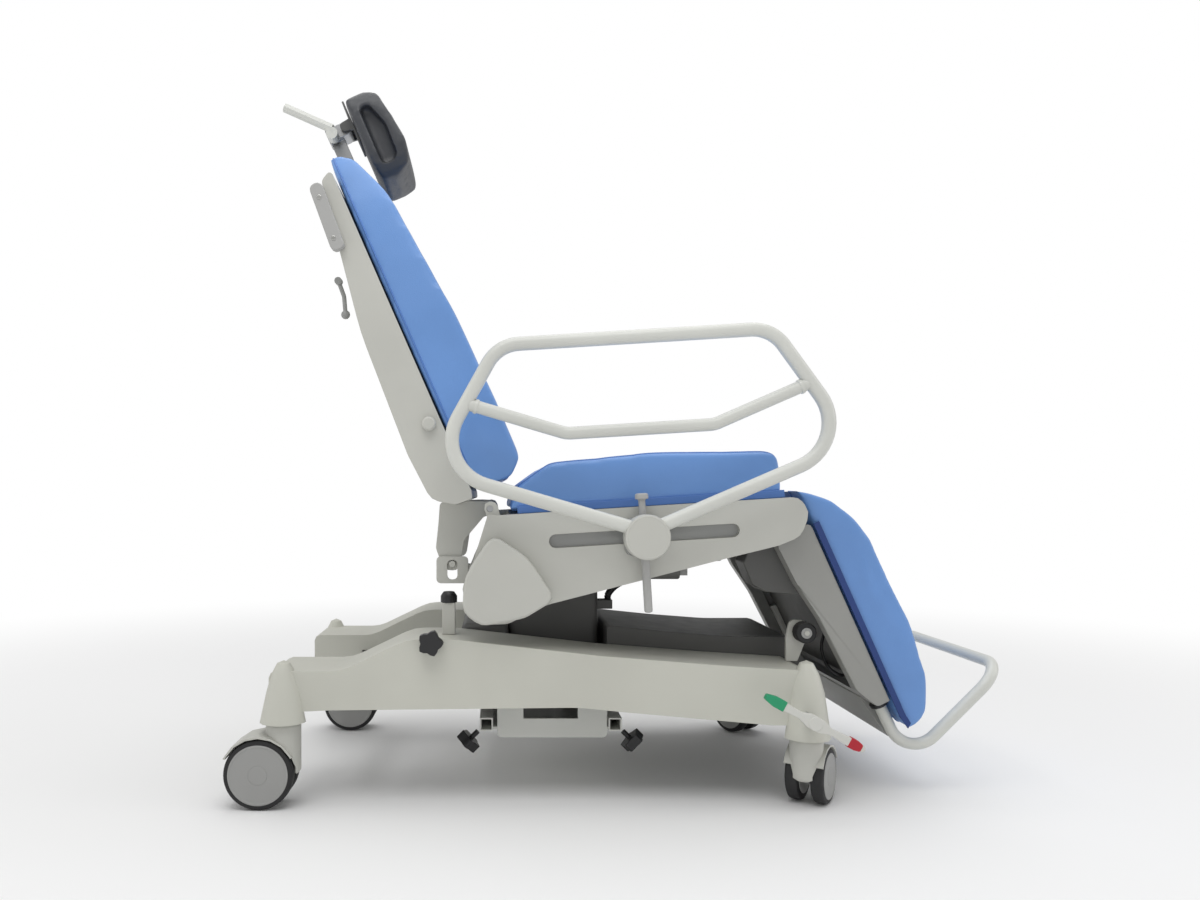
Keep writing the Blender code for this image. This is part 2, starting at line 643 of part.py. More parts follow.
def make_castor(corner, x, y, radius, cowl_z, trail, trail_angle):
    """Swivelling housing with its stem, and the twin wheels in it."""
    heading = Vector((math.cos(trail_angle), math.sin(trail_angle), 0))
    axle = Vector((-heading.y, heading.x, 0))
    top = cowl_z - 0.0025
    scale = radius / REAR_WHEEL_R
    barrel_r = 0.032 if radius == REAR_WHEEL_R else 0.030
    centre = Vector((x, y, radius)) + heading * trail
    housing = turned("castor_housing_" + corner,
                     [(0, top), (barrel_r - 0.003, top), (barrel_r, top - 0.004), (barrel_r, radius * 1.05),
                      (barrel_r - 0.004, radius * 0.95), (0, radius * 0.95)], (x, y, 0), (0, 0, 1), LIGHT_GREY, steps=16)
    fender_r = radius + 0.0065
    upright = Matrix((heading, (0, 0, 1), -axle)).transposed().to_4x4()
    sector = [Vector((0, -0.012 * scale))]
    first = math.radians(26)
    last = math.radians(152)
    count = 6
    for i in range(count + 1):
        angle = first + (last - first) * i / count
        sector.append(Vector((fender_r * math.cos(angle), fender_r * math.sin(angle))))
    half_width = TWIN_WIDTH / 2
    join(housing, prism("fender_" + corner, sector, -half_width, half_width,
                        matrix=Matrix.Translation(centre) @ upright))
    stem_top = cowl_z + STEM_RISE
    join(housing, rod("stem_" + corner, (x, y, top - 0.01), (x, y, stem_top), STEM_R))
    for name, sign in (("a", -1), ("b", 1)):
        inner = WHEEL_GAP / 2 - 0.002
        cut(housing, rod("wheel_room_" + name + corner, centre + axle * sign * inner,
                         centre + axle * sign * (half_width + 0.02), radius + 0.003, sides=18))
    cut(housing, rod("axle_bore_" + corner, centre - axle * 0.05, centre + axle * 0.05, AXLE_R + SLIP))
    wheels = turned("castor_wheels_" + corner, wheel_profile(radius, TWIN_WIDTH), centre, axle, WHEEL_GREY, steps=20)
    swivel = on_axis("swivel_axis_" + corner, (x, y, 0), [housing])
    on_axis("axle_axis_" + corner, centre, [wheels], swivel)


make_castor("rear_right", REAR_CASTOR_X, -CASTOR_Y, REAR_WHEEL_R, REAR_COWL_Z, 0.039, math.radians(180))
make_castor("rear_left", REAR_CASTOR_X, CASTOR_Y, REAR_WHEEL_R, REAR_COWL_Z, 0.039, 0.0)
make_castor("front_right", FRONT_CASTOR_X, -CASTOR_Y, FRONT_WHEEL_R, FRONT_COWL_Z, 0.028, math.radians(56))
make_castor("front_left", FRONT_CASTOR_X, CASTOR_Y, FRONT_WHEEL_R, FRONT_COWL_Z, 0.028, math.radians(-56))

# ---------------------------------------------------------------- seat unit, on the lift
PLATE_INNER_Y = PLATE_OUTER_Y - PLATE_THICK
PLATE_CORNERS = [
    (-0.0043, -0.0098, 0.004), (0.017, PLATE_TOP, 0.02), (SEAT_LENGTH - 0.004, PLATE_TOP, 0.02),
    (SEAT_LENGTH + 0.016, -0.040, 0.03), (SEAT_LENGTH - 0.004, -0.084, 0.03), (SEAT_LENGTH - 0.045, -0.098, 0.05),
    (0.4251, -0.1147, 0.3), (0.2902, -0.141, 0.3), (0.092, -0.1795, 0.1), (0.020, -0.2096, 0.03),
    (-0.0395, -0.208, 0.02), (-0.0595, -0.1416, 0.02), (-0.0366, -0.0949, 0.05), (-0.0127, -0.0318, 0.05)]
PIVOT_COVER_CORNERS = [
    (0.002, -0.0475, 0.016), (0.062, -0.092, 0.08), (0.105, -0.167, 0.014), (0.050, -0.196, 0.05),
    (-0.028, -0.2055, 0.03), (-0.058, -0.180, 0.025), (-0.052, -0.118, 0.08)]


def make_seat_plate(side, sign):
    low, high = span(sign * PLATE_INNER_Y, sign * PLATE_OUTER_Y)
    plate = prism("seat_plate_" + side, rounded(SEAT.corners(PLATE_CORNERS)), low, high, LIGHT_GREY)
    groove = [(GROOVE_START, GROOVE_T - GROOVE_WIDTH / 2, GROOVE_WIDTH * 0.48),
              (GROOVE_END, GROOVE_T - GROOVE_WIDTH / 2, GROOVE_WIDTH * 0.48),
              (GROOVE_END, GROOVE_T + GROOVE_WIDTH / 2, GROOVE_WIDTH * 0.48),
              (GROOVE_START, GROOVE_T + GROOVE_WIDTH / 2, GROOVE_WIDTH * 0.48)]
    ear = [(-0.0135, 0.0135, 0.013), (0.0135, 0.0135, 0.013), (0.024, -0.052, 0.004), (0.004, -0.052, 0.004)]
    ear_y = span(sign * (PLATE_INNER_Y - 0.018), sign * (PLATE_INNER_Y + 0.004))
    join(plate, prism("hinge_ear_" + side, rounded(SEAT.corners(ear)), *ear_y))
    cut_y = span(sign * (PLATE_OUTER_Y - GROOVE_DEPTH), sign * (PLATE_OUTER_Y + 0.01))
    cut(plate, prism("groove_" + side, rounded(SEAT.corners(groove), steps=3), *cut_y))
    for name, (x, z) in (("back", SEAT.origin), ("leg", LEG_HINGE)):
        cut(plate, rod("hinge_bore_" + name + side, (x, sign * (PLATE_INNER_Y - 0.03), z),
                       (x, sign * (PLATE_INNER_Y + 0.008), z), HINGE_R + GAP))
    return plate


def make_pivot_cover(side, sign):
    low, high = span(sign * (PLATE_OUTER_Y + GAP), sign * (PLATE_OUTER_Y + 0.030))
    cover = prism("pivot_cover_" + side, rounded(SEAT.corners(PIVOT_COVER_CORNERS)), low, high, LIGHT_GREY)
    soften(cover, 0.006, angle=60)
    return cover


seat_plates = [make_seat_plate(side, sign) for side, sign in SIDES]
pivot_covers = [make_pivot_cover(side, sign) for side, sign in SIDES]
CROSS_END_Y = PLATE_INNER_Y - GAP


def cross_tube(name, s, t, look=None, radius=0.014):
    return rod(name, SEAT.point(s, -CROSS_END_Y, t), SEAT.point(s, CROSS_END_Y, t), radius, look)


back_hinge_shaft = cross_tube("back_hinge_shaft", 0, 0, STEEL, HINGE_R)
leg_hinge_shaft = cross_tube("leg_hinge_shaft", SEAT_LENGTH, -LEG_HINGE_DROP, STEEL, HINGE_R)

ROD_Z = BACK_HINGE_Z - 0.1145
HEAD_LOW_Z = COLUMN_TOP_Z + GAP
CROSS_A_S = 0.135
CROSS_B_S = 0.365
CROSS_T = -0.064
LEG_PIN_REST = (LEG_LEVER_R * math.cos(LEG_LEVER_ANGLE), LEG_LEVER_R * math.sin(LEG_LEVER_ANGLE))
LEG_ROD_Z = LEG_HINGE[1] - LEG_LEVER_R * 0.93
BODY_R = 0.020
ROD_FRONT_X = SEAT.at(CROSS_B_S, CROSS_T)[0] - 0.014
ROD_REAR_X = SEAT.at(CROSS_A_S, CROSS_T)[0]


def make_seat_frame():
    """Head plate over the column, two webs, two cross tubes and the actuators' hangers."""
    half = COLUMN_LENGTH / 2 - 0.006
    frame = block("seat_frame", (COLUMN_X - half, -0.118, HEAD_LOW_Z), (COLUMN_X + half, 0.118, HEAD_LOW_Z + 0.012),
                  STEEL)
    web = [(0.040, -0.123, 0.004), (0.250, -0.131, 0.02), (CROSS_B_S + 0.018, CROSS_T - 0.018, 0.01),
           (CROSS_B_S + 0.018, CROSS_T + 0.018, 0.006), (CROSS_A_S - 0.035, CROSS_T + 0.018, 0.006),
           (0.040, -0.105, 0.01)]
    pieces = []
    for side, sign in SIDES:
        low, high = span(sign * 0.104, sign * 0.112)
        pieces.append(prism("web_" + side, rounded(SEAT.corners(web), steps=2), low, high))
    for name, s in (("a", CROSS_A_S), ("b", CROSS_B_S)):
        pieces.append(cross_tube("cross_" + name, s, CROSS_T))
    cross_z = SEAT.at(CROSS_B_S, CROSS_T)[1]
    pieces.append(block("back_hanger", (ROD_FRONT_X + 0.004, BACK_ROD_Y - 0.012, ROD_Z - 0.012),
                        (ROD_FRONT_X + 0.018, BACK_ROD_Y + 0.012, cross_z)))
    cross_z = SEAT.at(CROSS_A_S, CROSS_T)[1]
    pieces.append(block("leg_hanger", (ROD_REAR_X - 0.008, LEG_ROD_Y - 0.012, LEG_ROD_Z - 0.012),
                        (ROD_REAR_X + 0.006, LEG_ROD_Y + 0.012, cross_z)))
    join(frame, *pieces)
    return frame


seat_frame = make_seat_frame()


def cylinder_body(name, x_low, x_high, y, z, mouth, look):
    """Actuator tube along X, blind at one end, with its mouth towards -X or +X."""
    body = rod(name, (x_low, y, z), (x_high, y, z), BODY_R, look)
    end = 0.008
    if mouth < 0:
        cut(body, rod(name + "_bore", (x_low - 0.01, y, z), (x_high - end, y, z), ROD_R + SLIP))
    else:
        cut(body, rod(name + "_bore", (x_low + end, y, z), (x_high + 0.01, y, z), ROD_R + SLIP))
    return body


back_pin_r = math.hypot(*BACK_PIN)
back_pin_angle = math.atan2(BACK_PIN[1], BACK_PIN[0])
BACK_ROD_TRAVEL = back_pin_r * (math.cos(back_pin_angle + BACK_SWING) - math.cos(back_pin_angle))
LUG_HALF = 0.030
LUG_MARGIN = 0.006
BACK_BODY_X = BACK_HINGE_X + BACK_PIN[0] + BACK_ROD_TRAVEL + LUG_HALF + LUG_MARGIN
LEG_BODY_FRONT_X = LEG_HINGE[0] + LEG_PIN_REST[0] - LUG_HALF - LUG_MARGIN
back_actuator = cylinder_body("back_actuator", BACK_BODY_X, ROD_FRONT_X + 0.004 - GAP, BACK_ROD_Y, ROD_Z, -1,
                              DARK_GREY)
leg_actuator = cylinder_body("leg_actuator", ROD_REAR_X + 0.006 + GAP, LEG_BODY_FRONT_X, LEG_ROD_Y, LEG_ROD_Z, 1,
                             DARK_GREY)
LEVER_HALF = 0.005


def actuator_rod(name, pin_x, tip_x, y, z, lug_sign, slot_low, slot_high):
    """Rod along X with a slotted lug beside its lever; the slot holds the lever's pin all the way."""
    lug_low, lug_high = span(y + lug_sign * (LEVER_HALF + 0.0015), y + lug_sign * (LEVER_HALF + 0.0015 + LUG_THICK))
    direction = 1 if tip_x > pin_x else -1
    bar = rod(name, (pin_x + direction * 0.021, y, z), (tip_x, y, z), ROD_R, STEEL)
    lug_x = pin_x
    lug = [(lug_x - LUG_HALF, slot_low - 0.007, 0.008), (lug_x + LUG_HALF, slot_low - 0.007, 0.008),
           (lug_x + LUG_HALF, slot_high + 0.007, 0.008), (lug_x - LUG_HALF, slot_high + 0.007, 0.008)]
    slot = [(lug_x - 0.0095, slot_low, 0.008), (lug_x + 0.0095, slot_low, 0.008),
            (lug_x + 0.0095, slot_high, 0.008), (lug_x - 0.0095, slot_high, 0.008)]
    join(bar, prism(name + "_lug", rounded(lug, steps=3), lug_low, lug_high, holes=[rounded(slot, steps=3)]))
    return bar


PIN_R = 0.006
PIN_TRACK = PIN_R + 0.0015
back_pin_x = BACK_HINGE_X + BACK_PIN[0]
back_rod = actuator_rod("back_rod", back_pin_x, BACK_BODY_X + 0.040, BACK_ROD_Y, ROD_Z, -1,
                        BACK_HINGE_Z - back_pin_r - PIN_TRACK, BACK_HINGE_Z + BACK_PIN[1] + PIN_TRACK)
leg_pin_x = LEG_HINGE[0] + LEG_PIN_REST[0]
leg_pin_high = LEG_HINGE[1] + LEG_LEVER_R * math.sin(LEG_LEVER_ANGLE + LEG_SWING)
leg_rod = actuator_rod("leg_rod", leg_pin_x, leg_pin_x - 0.240, LEG_ROD_Y, LEG_ROD_Z, 1,
                       LEG_HINGE[1] - LEG_LEVER_R - PIN_TRACK, leg_pin_high + PIN_TRACK)

PAN_THICK = 0.012
PAN_FRONT_S = SEAT_LENGTH - 0.075
seat_pan = prism("seat_pan", rounded(SEAT.corners(
    [(0.036, PLATE_TOP - PAN_THICK, 0), (PAN_FRONT_S, PLATE_TOP - PAN_THICK, 0), (PAN_FRONT_S, PLATE_TOP, 0),
     (0.036, PLATE_TOP, 0)])), -CROSS_END_Y, CROSS_END_Y, DARK_GREY)

CUSHION_BASE_T = PLATE_TOP + 0.0028
CUSHION_FRONT_S = SEAT_LENGTH - 0.0235
CUSHION_TOP_T = 0.078
seat_cushion = prism("seat_cushion", rounded(SEAT.corners(
    [(0.030, CUSHION_BASE_T, 0.006), (CUSHION_FRONT_S, CUSHION_BASE_T, 0.008),
     (CUSHION_FRONT_S, CUSHION_TOP_T - 0.004, 0.022), (0.30, CUSHION_TOP_T + 0.008, 0.5),
     (0.112, CUSHION_TOP_T, 0.02), (0.046, 0.036, 0.02)])), -SEAT_HALF_WIDTH, SEAT_HALF_WIDTH, BLUE)
soften(seat_cushion, 0.012, angle=60)

# cable conduit from a clip on the column to the underside of the seat frame
CLIP_X = COLUMN_X + COLUMN_LENGTH / 2
join(column_sleeve, block("conduit_clip", (CLIP_X - 0.002, -0.080, 0.330), (CLIP_X + 0.030, -0.048, 0.348)))
CONDUIT_R = 0.007
CONDUIT_ROUTE = ((CLIP_X + 0.022, -0.064, 0.3500), (CLIP_X + 0.024, -0.066, 0.362), (CLIP_X + 0.036, -0.078, 0.378),
                 (CLIP_X + 0.055, -0.092, 0.392), (CLIP_X + 0.068, -0.098, 0.404), (CLIP_X + 0.072, -0.0985, 0.420),
                 (CLIP_X + 0.073, -0.0960, 0.440))


def smooth_route(points, step):
    """A smooth line through the given points (Catmull-Rom), sampled about every step metres."""
    points = [Vector(p) for p in points]
    line = [points[0]]
    for i in range(len(points) - 1):
        before = points[max(i - 1, 0)]
        start = points[i]
        end = points[i + 1]
        after = points[min(i + 2, len(points) - 1)]
        count = max(1, round((end - start).length / step))
        for j in range(1, count + 1):
            t = j / count
            line.append(0.5 * ((2 * start) + (end - before) * t + (2 * before - 5 * start + 4 * end - after) * t * t
                               + (3 * start - before - 3 * end + after) * t ** 3))
    return line


conduit = tube("conduit", smooth_route(CONDUIT_ROUTE, 0.014), CONDUIT_R, BLACK, smoothness=2)

# ---------------------------------------------------------------- backrest
SHELL_HALF_Y = 0.268
SHELL_CORNERS = [
    (0.030, -0.022, 0.004), (0.032, -0.055, 0.02), (0.058, -0.092, 0.03), (0.150, -0.098, 0.1),
    (0.3887, -0.0868, 0.5), (BACK_LENGTH - 0.012, -0.041, 0.012), (BACK_LENGTH, -0.0175, 0.006)]
SHELL_FRONT_N = -0.0175


def make_back_shell():
    """Moulded tray: flat front face against the cushion, hollowed from the front."""
    outline = SHELL_CORNERS + [(0.044, SHELL_FRONT_N, 0.004)]
    shell = prism("back_shell", rounded(BACK.corners(outline), steps=3), -SHELL_HALF_Y, SHELL_HALF_Y, LIGHT_GREY)
    soften(shell, 0.012, angle=60)
    inner = [(0.100, -0.080, 0.02), (0.380, -0.072, 0.3), (0.560, -0.044, 0.01), (0.560, 0.0, 0), (0.100, 0.0, 0)]
    cut(shell, prism("shell_hollow", rounded(BACK.corners(inner), steps=2), -0.180, 0.180))
    return shell


back_shell = make_back_shell()
CUSHION_BACK_N = SHELL_FRONT_N + GAP
BACK_CUSHION_CORNERS = [
    (0.040, CUSHION_BACK_N, 0), (0.034, 0.060, 0.015), (0.060, 0.090, 0.02), (0.170, 0.092, 0.3),
    (0.3546, 0.088, 0.5), (0.620, 0.064, 0.2), (0.715, 0.030, 0.03), (0.738, CUSHION_BACK_N + 0.020, 0.01),
    (0.735, CUSHION_BACK_N, 0)]
HEAD_POST_HALF = 0.012
POST_BACK_N = 0.0000
POST_FRONT_N = 0.0300
POST_FOOT_U = 0.585
POST_TOP_U = 0.832


def make_back_cushion():
    """Plain solid of the back cushion: side outline, narrowed to the rounded front outline."""
    cushion = prism("back_cushion", rounded(BACK.corners(BACK_CUSHION_CORNERS), steps=3), -SEAT_HALF_WIDTH,
                    SEAT_HALF_WIDTH, BLUE)
    soften(cushion, 0.014, angle=60)
    face = [(0.0, -0.30, 0), (0.0, 0.30, 0), (0.36, 0.272, 0.3), (0.62, 0.246, 0.2), (0.745, 0.205, 0.06),
            (0.775, 0.0, 0.5), (0.745, -0.205, 0.06), (0.62, -0.246, 0.2), (0.36, -0.272, 0.3)]
    plane = BACK.matrix(0, 0)
    cutter = prism("cushion_face", rounded(face, steps=3), -0.10, 0.20, matrix=plane)
    combine(cushion, [cutter], 'INTERSECT')
    cut(cushion, block("post_pocket", (POST_FOOT_U - CLEAR, -HEAD_POST_HALF - 0.0015, POST_BACK_N - 0.0015),
                       (0.90, HEAD_POST_HALF + 0.0015, POST_FRONT_N + 0.0015), matrix=plane))
    return cushion


back_cushion = make_back_cushion()
LEVER_Y = abs(BACK_ROD_Y)
LEVER_CORNERS = [
    (-0.095, 0.012, 0.008), (-0.098, -0.030, 0.03), (-0.1028, -0.0754, 0.02), (-0.088, -0.116, 0.014),
    (-0.058, -0.119, 0.014), (-0.049, -0.060, 0.02), (-0.012, -0.016, 0.01), (0.0125, -0.010, 0.01),
    (0.0125, 0.0125, 0.011), (-0.020, 0.014, 0.01)]


def hinge_corners(local, hinge):
    return [(hinge[0] + a, hinge[1] + b, radius) for a, b, radius in local]


def make_back_lever():
    """Two bell cranks on the hinge shaft, joined by a tube; the right one carries the rod's pin."""
    levers = []
    for side, sign in SIDES:
        low, high = span(sign * (LEVER_Y - LEVER_HALF), sign * (LEVER_Y + LEVER_HALF))
        levers.append(prism("back_lever" if sign < 0 else "lever_left",
                            rounded(hinge_corners(LEVER_CORNERS, SEAT.origin), steps=3), low, high,
                            LIGHT_GREY if sign < 0 else None))
    tube_x = BACK_HINGE_X - 0.080
    tube_z = BACK_HINGE_Z - 0.020
    join(levers[0], levers[1], rod("lever_tube", (tube_x, -LEVER_Y, tube_z), (tube_x, LEVER_Y, tube_z), 0.012))
    reach = LEVER_Y + LEVER_HALF + 0.0015 + LUG_THICK + 0.0015
    join(levers[0], rod("lever_pin", (back_pin_x, -LEVER_Y, BACK_HINGE_Z + BACK_PIN[1]),
                        (back_pin_x, -reach, BACK_HINGE_Z + BACK_PIN[1]), PIN_R))
    cut(levers[0], rod("lever_bore", (BACK_HINGE_X, -0.3, BACK_HINGE_Z), (BACK_HINGE_X, 0.3, BACK_HINGE_Z),
                       HINGE_R + SLIP))
    shell_room = prism("shell_room", rounded(BACK.corners(
        [(a - 0.0004 if a < 0.05 else a, b - 0.0004, radius) for a, b, radius in SHELL_CORNERS]
        + [(0.044, SHELL_FRONT_N + 0.001, 0.004)]), steps=3), -0.3, 0.3)
    cut(levers[0], shell_room)
    return levers[0]


back_lever = make_back_lever()


HANDLE_THICK = 0.018


def make_push_handle(side, sign):
    """Grip plate on the shell's side, standing proud of its back."""
    low, high = span(sign * (SHELL_HALF_Y + GAP), sign * (SHELL_HALF_Y + HANDLE_THICK))
    bar = [(0.540, -0.0745, 0.010), (0.540, -0.0487, 0.008), (0.667, -0.0413, 0.011), (0.667, -0.0662, 0.011)]
    handle = prism("push_handle_" + side, rounded(BACK.corners(bar), steps=3), low, high, BLACK)
    soften(handle, 0.003, angle=60)
    return handle


push_handles = [make_push_handle(side, sign) for side, sign in SIDES]
RELEASE_Y = -0.236
RELEASE_U = 0.500
RELEASE_N = -0.0880
release_lever = tube("release_lever", rounded(
    [(*BACK.point(RELEASE_U, RELEASE_Y, RELEASE_N), 0), (*BACK.point(0.470, RELEASE_Y, -0.0900), 0.02),
     (*BACK.point(0.438, RELEASE_Y, -0.1010), 0)], closed=False), 0.004, BLACK, smoothness=2)
release_ball = turned("release_ball", [(0.0085 * math.sin(math.pi * i / 6), 0.0085 * math.cos(math.pi * i / 6))
                                       for i in range(7)], BACK.point(0.438, RELEASE_Y, -0.1010), (0, 0, 1), steps=10)
join(release_lever, release_ball, rod("release_pivot", BACK.point(RELEASE_U, RELEASE_Y - 0.007, RELEASE_N),
                                      BACK.point(RELEASE_U, RELEASE_Y + 0.007, RELEASE_N), 0.007, sides=12))
shell_knob = rod("shell_knob", BACK.point(0.1865, -(SHELL_HALF_Y + GAP), -0.0394),
                 BACK.point(0.1865, -(SHELL_HALF_Y + 0.014), -0.0394), 0.013, BLACK, sides=20)
soften(shell_knob, 0.003, angle=60)

# ---------------------------------------------------------------- head rest
PIVOT_U = 0.846
PIVOT_N = 0.0400
NOSE_R = 0.013
head_post = block("head_post", (POST_FOOT_U, -HEAD_POST_HALF, POST_BACK_N),
                  (POST_TOP_U, HEAD_POST_HALF, POST_FRONT_N), STEEL, matrix=BACK.matrix(0, 0))
join(head_post, prism("head_clamp", rounded(BACK.corners(
    [(POST_TOP_U - 0.001, -0.002, 0.004), (POST_TOP_U - 0.001, PIVOT_N + NOSE_R, NOSE_R * 0.95),
     (PIVOT_U + NOSE_R, PIVOT_N + NOSE_R, NOSE_R * 0.95), (PIVOT_U + NOSE_R, -0.002, 0.004)])), -0.025, 0.025))
LEVER_U = 0.8360
LEVER_N = 0.0105
CLAMP_LEVER_Y = -0.0450
clamp_lever = tube("clamp_lever", [BACK.point(LEVER_U + 0.010, CLAMP_LEVER_Y, LEVER_N + 0.004),
                                   BACK.point(0.9253, CLAMP_LEVER_Y, -0.0574)], 0.0095, LIGHT_GREY)
join(clamp_lever, rod("clamp_lever_hub", BACK.point(LEVER_U, -0.0253 - GAP, LEVER_N),
                      BACK.point(LEVER_U, CLAMP_LEVER_Y - 0.0090, LEVER_N), 0.0120, sides=20))


def make_head_plate():
    back_n = PIVOT_N + NOSE_R + 0.0015
    frame = BACK.matrix(0, 0)
    plate = block("head_plate", (0.800, -0.045, back_n), (0.890, 0.045, back_n + 0.004), LIGHT_GREY, matrix=frame)
    for side, sign in SIDES:
        low, high = span(sign * 0.0262, sign * 0.0332)
        join(plate, prism("head_lug_" + side, rounded(BACK.corners(
            [(PIVOT_U - 0.009, PIVOT_N - 0.009, 0.008), (PIVOT_U + 0.009, PIVOT_N - 0.009, 0.008),
             (PIVOT_U + 0.012, back_n + 0.002, 0), (PIVOT_U - 0.012, back_n + 0.002, 0)]), steps=3), low, high))
    return plate


head_plate = make_head_plate()
PAD_BACK_N = PIVOT_N + NOSE_R + 0.0015 + 0.004 + GAP
PAD_FOOT_U = 0.6930
PAD_TOP_U = 0.8810
PAD_HALF = 0.105
SCOOP_DEPTH = 0.024


def make_head_pad():
    """Moulded pad: side outline, narrowed by the rounded front outline, with a scoop in each side."""
    side = [(PAD_FOOT_U + 0.002, PAD_BACK_N + 0.008, 0.008), (PAD_FOOT_U, 0.100, 0.014), (0.704, 0.133, 0.016),
            (0.750, 0.1425, 0.05), (0.805, 0.136, 0.05), (0.860, 0.1260, 0.02), (PAD_TOP_U, 0.098, 0.02),
            (PAD_TOP_U - 0.002, PAD_BACK_N + 0.004, 0.004), (PAD_TOP_U - 0.008, PAD_BACK_N, 0.003),
            (0.730, PAD_BACK_N, 0.01)]
    pad = prism("head_pad", rounded(BACK.corners(side), steps=3), -PAD_HALF - 0.004, PAD_HALF + 0.004, DARK_GREY)
    soften(pad, 0.012, angle=60)
    face = [(0.687, -PAD_HALF, 0.055), (0.687, PAD_HALF, 0.055), (0.887, PAD_HALF, 0.055), (0.887, -PAD_HALF, 0.055)]
    combine(pad, [prism("pad_face", rounded(face, steps=4), 0.0, 0.20, matrix=BACK.matrix(0, 0))], 'INTERSECT')
    scoop = [(0.716, 0.080, 0.008), (0.722, 0.113, 0.012), (0.790, 0.116, 0.03), (0.842, 0.098, 0.012),
             (0.836, 0.080, 0.008)]
    for side_name, sign in SIDES:
        low, high = span(sign * (PAD_HALF - SCOOP_DEPTH), sign * (PAD_HALF + 0.01))
        cut(pad, prism("scoop_" + side_name, rounded(BACK.corners(scoop), steps=3), low, high))
    return pad


head_pad = make_head_pad()

# ---------------------------------------------------------------- leg section
LEG_CUSHION_CORNERS = [
    (-0.0200, 0.0145, 0.002), (-0.030, 0.006, 0.002), (-0.0138, 0.0315, 0.02), (0.0194, 0.0665, 0.03), (0.070, 0.092, 0.05),
    (0.118, 0.1025, 0.05), (0.300, 0.1010, 0.2), (0.400, 0.083, 0.08), (0.462, 0.052, 0.04),
    (LEG_LENGTH + 0.002, 0.006, 0.01), (0.440, 0.002, 0), (0.040, 0.0145, 0.005)]
leg_cushion = prism("leg_cushion", rounded(LEG.corners(LEG_CUSHION_CORNERS), steps=3), -LEG_HALF_WIDTH,
                    LEG_HALF_WIDTH, BLUE)
soften(leg_cushion, 0.014, angle=60)


def make_leg_frame():
    """Moulded leg shell with two side flanks, the hinge knuckles and the rod's lever."""
    flank = [(0.048, -0.062, 0.012), (0.134, -0.0603, 0.03), (0.2102, -0.0499, 0.1), (0.360, -0.0468, 0.02),
             (0.4027, -0.0255, 0.01), (0.4027, 0.0005, 0), (0.0407, 0.0115, 0.01)]
    half = LEG_HALF_WIDTH - 0.002
    shell = prism("leg_frame", rounded(LEG.corners(flank), steps=3), -half, half, LIGHT_GREY)
    soften(shell, 0.006, angle=60)
    room = [(0.000, -0.090, 0), (0.340, -0.090, 0), (0.380, -0.012, 0.01), (0.000, -0.005, 0)]
    cut(shell, prism("leg_hollow", rounded(LEG.corners(room), steps=2), -half + 0.030, half - 0.030))
    for side, sign in SIDES:
        low, high = span(sign * 0.222, sign * 0.230)
        knuckle = [(-0.0115, -0.0115, 0.011), (-0.0115, 0.0115, 0.011), (0.060, 0.004, 0), (0.100, -0.040, 0),
                   (0.060, -0.040, 0.01)]
        join(shell, prism("knuckle_" + side, rounded(LEG.corners(knuckle), steps=3), low, high))
    low = LEG_ROD_Y - LEVER_HALF
    high = LEG_ROD_Y + LEVER_HALF
    pin = Vector(LEG_PIN_REST)
    arm = [(pin.x - 0.011, pin.y - 0.004, 0.010), (pin.x + 0.004, pin.y - 0.012, 0.010),
           (-0.012, -0.070, 0.02), (0.012, -0.118, 0.01), (0.0564, -0.1116, 0.004), (0.0389, -0.0756, 0.004),
           (0.0125, 0.0, 0.011), (0.0, 0.0125, 0.011), (-0.0125, 0.0, 0.010), (-0.022, -0.030, 0.03),
           (pin.x + 0.0, pin.y + 0.014, 0.010)]
    join(shell, prism("leg_lever", rounded(hinge_corners(arm, LEG_HINGE), steps=3), low, high))
    reach = high + 0.0015 + LUG_THICK + 0.0015
    join(shell, rod("leg_lever_pin", (leg_pin_x, LEG_ROD_Y, LEG_HINGE[1] + pin.y),
                    (leg_pin_x, reach, LEG_HINGE[1] + pin.y), PIN_R))
    cut(shell, rod("leg_bore", (LEG_HINGE[0], -0.3, LEG_HINGE[1]), (LEG_HINGE[0], 0.3, LEG_HINGE[1]),
                   HINGE_R + SLIP))
    return shell


leg_frame = make_leg_frame()
BOW_N = -0.0135
BOW_FOOT_U = 0.5250
for side, sign in SIDES:
    cut(leg_frame, rod("bow_bore_" + side, LEG.point(0.200, sign * BOW_HALF_WIDTH, BOW_N),
                       LEG.point(0.450, sign * BOW_HALF_WIDTH, BOW_N), BOW_TUBE_R + SLIP))


def make_foot_bow():
    """One bent tube: two legs that slide in the leg shell, turned up to the foot bar."""
    half = BOW_HALF_WIDTH
    right = [(LEG.point(0.260, -half, BOW_N), 0), (LEG.point(BOW_FOOT_U + 0.006, -half, BOW_N), 0.050),
             (LEG.point(0.4480, -half, 0.2280), 0.060)]
    path = [(*point, radius) for point, radius in right]
    path += [(point[0], -point[1], point[2], radius) for point, radius in reversed(right)]
    return tube("foot_bow", rounded(path, closed=False, steps=5), BOW_TUBE_R, STEEL)


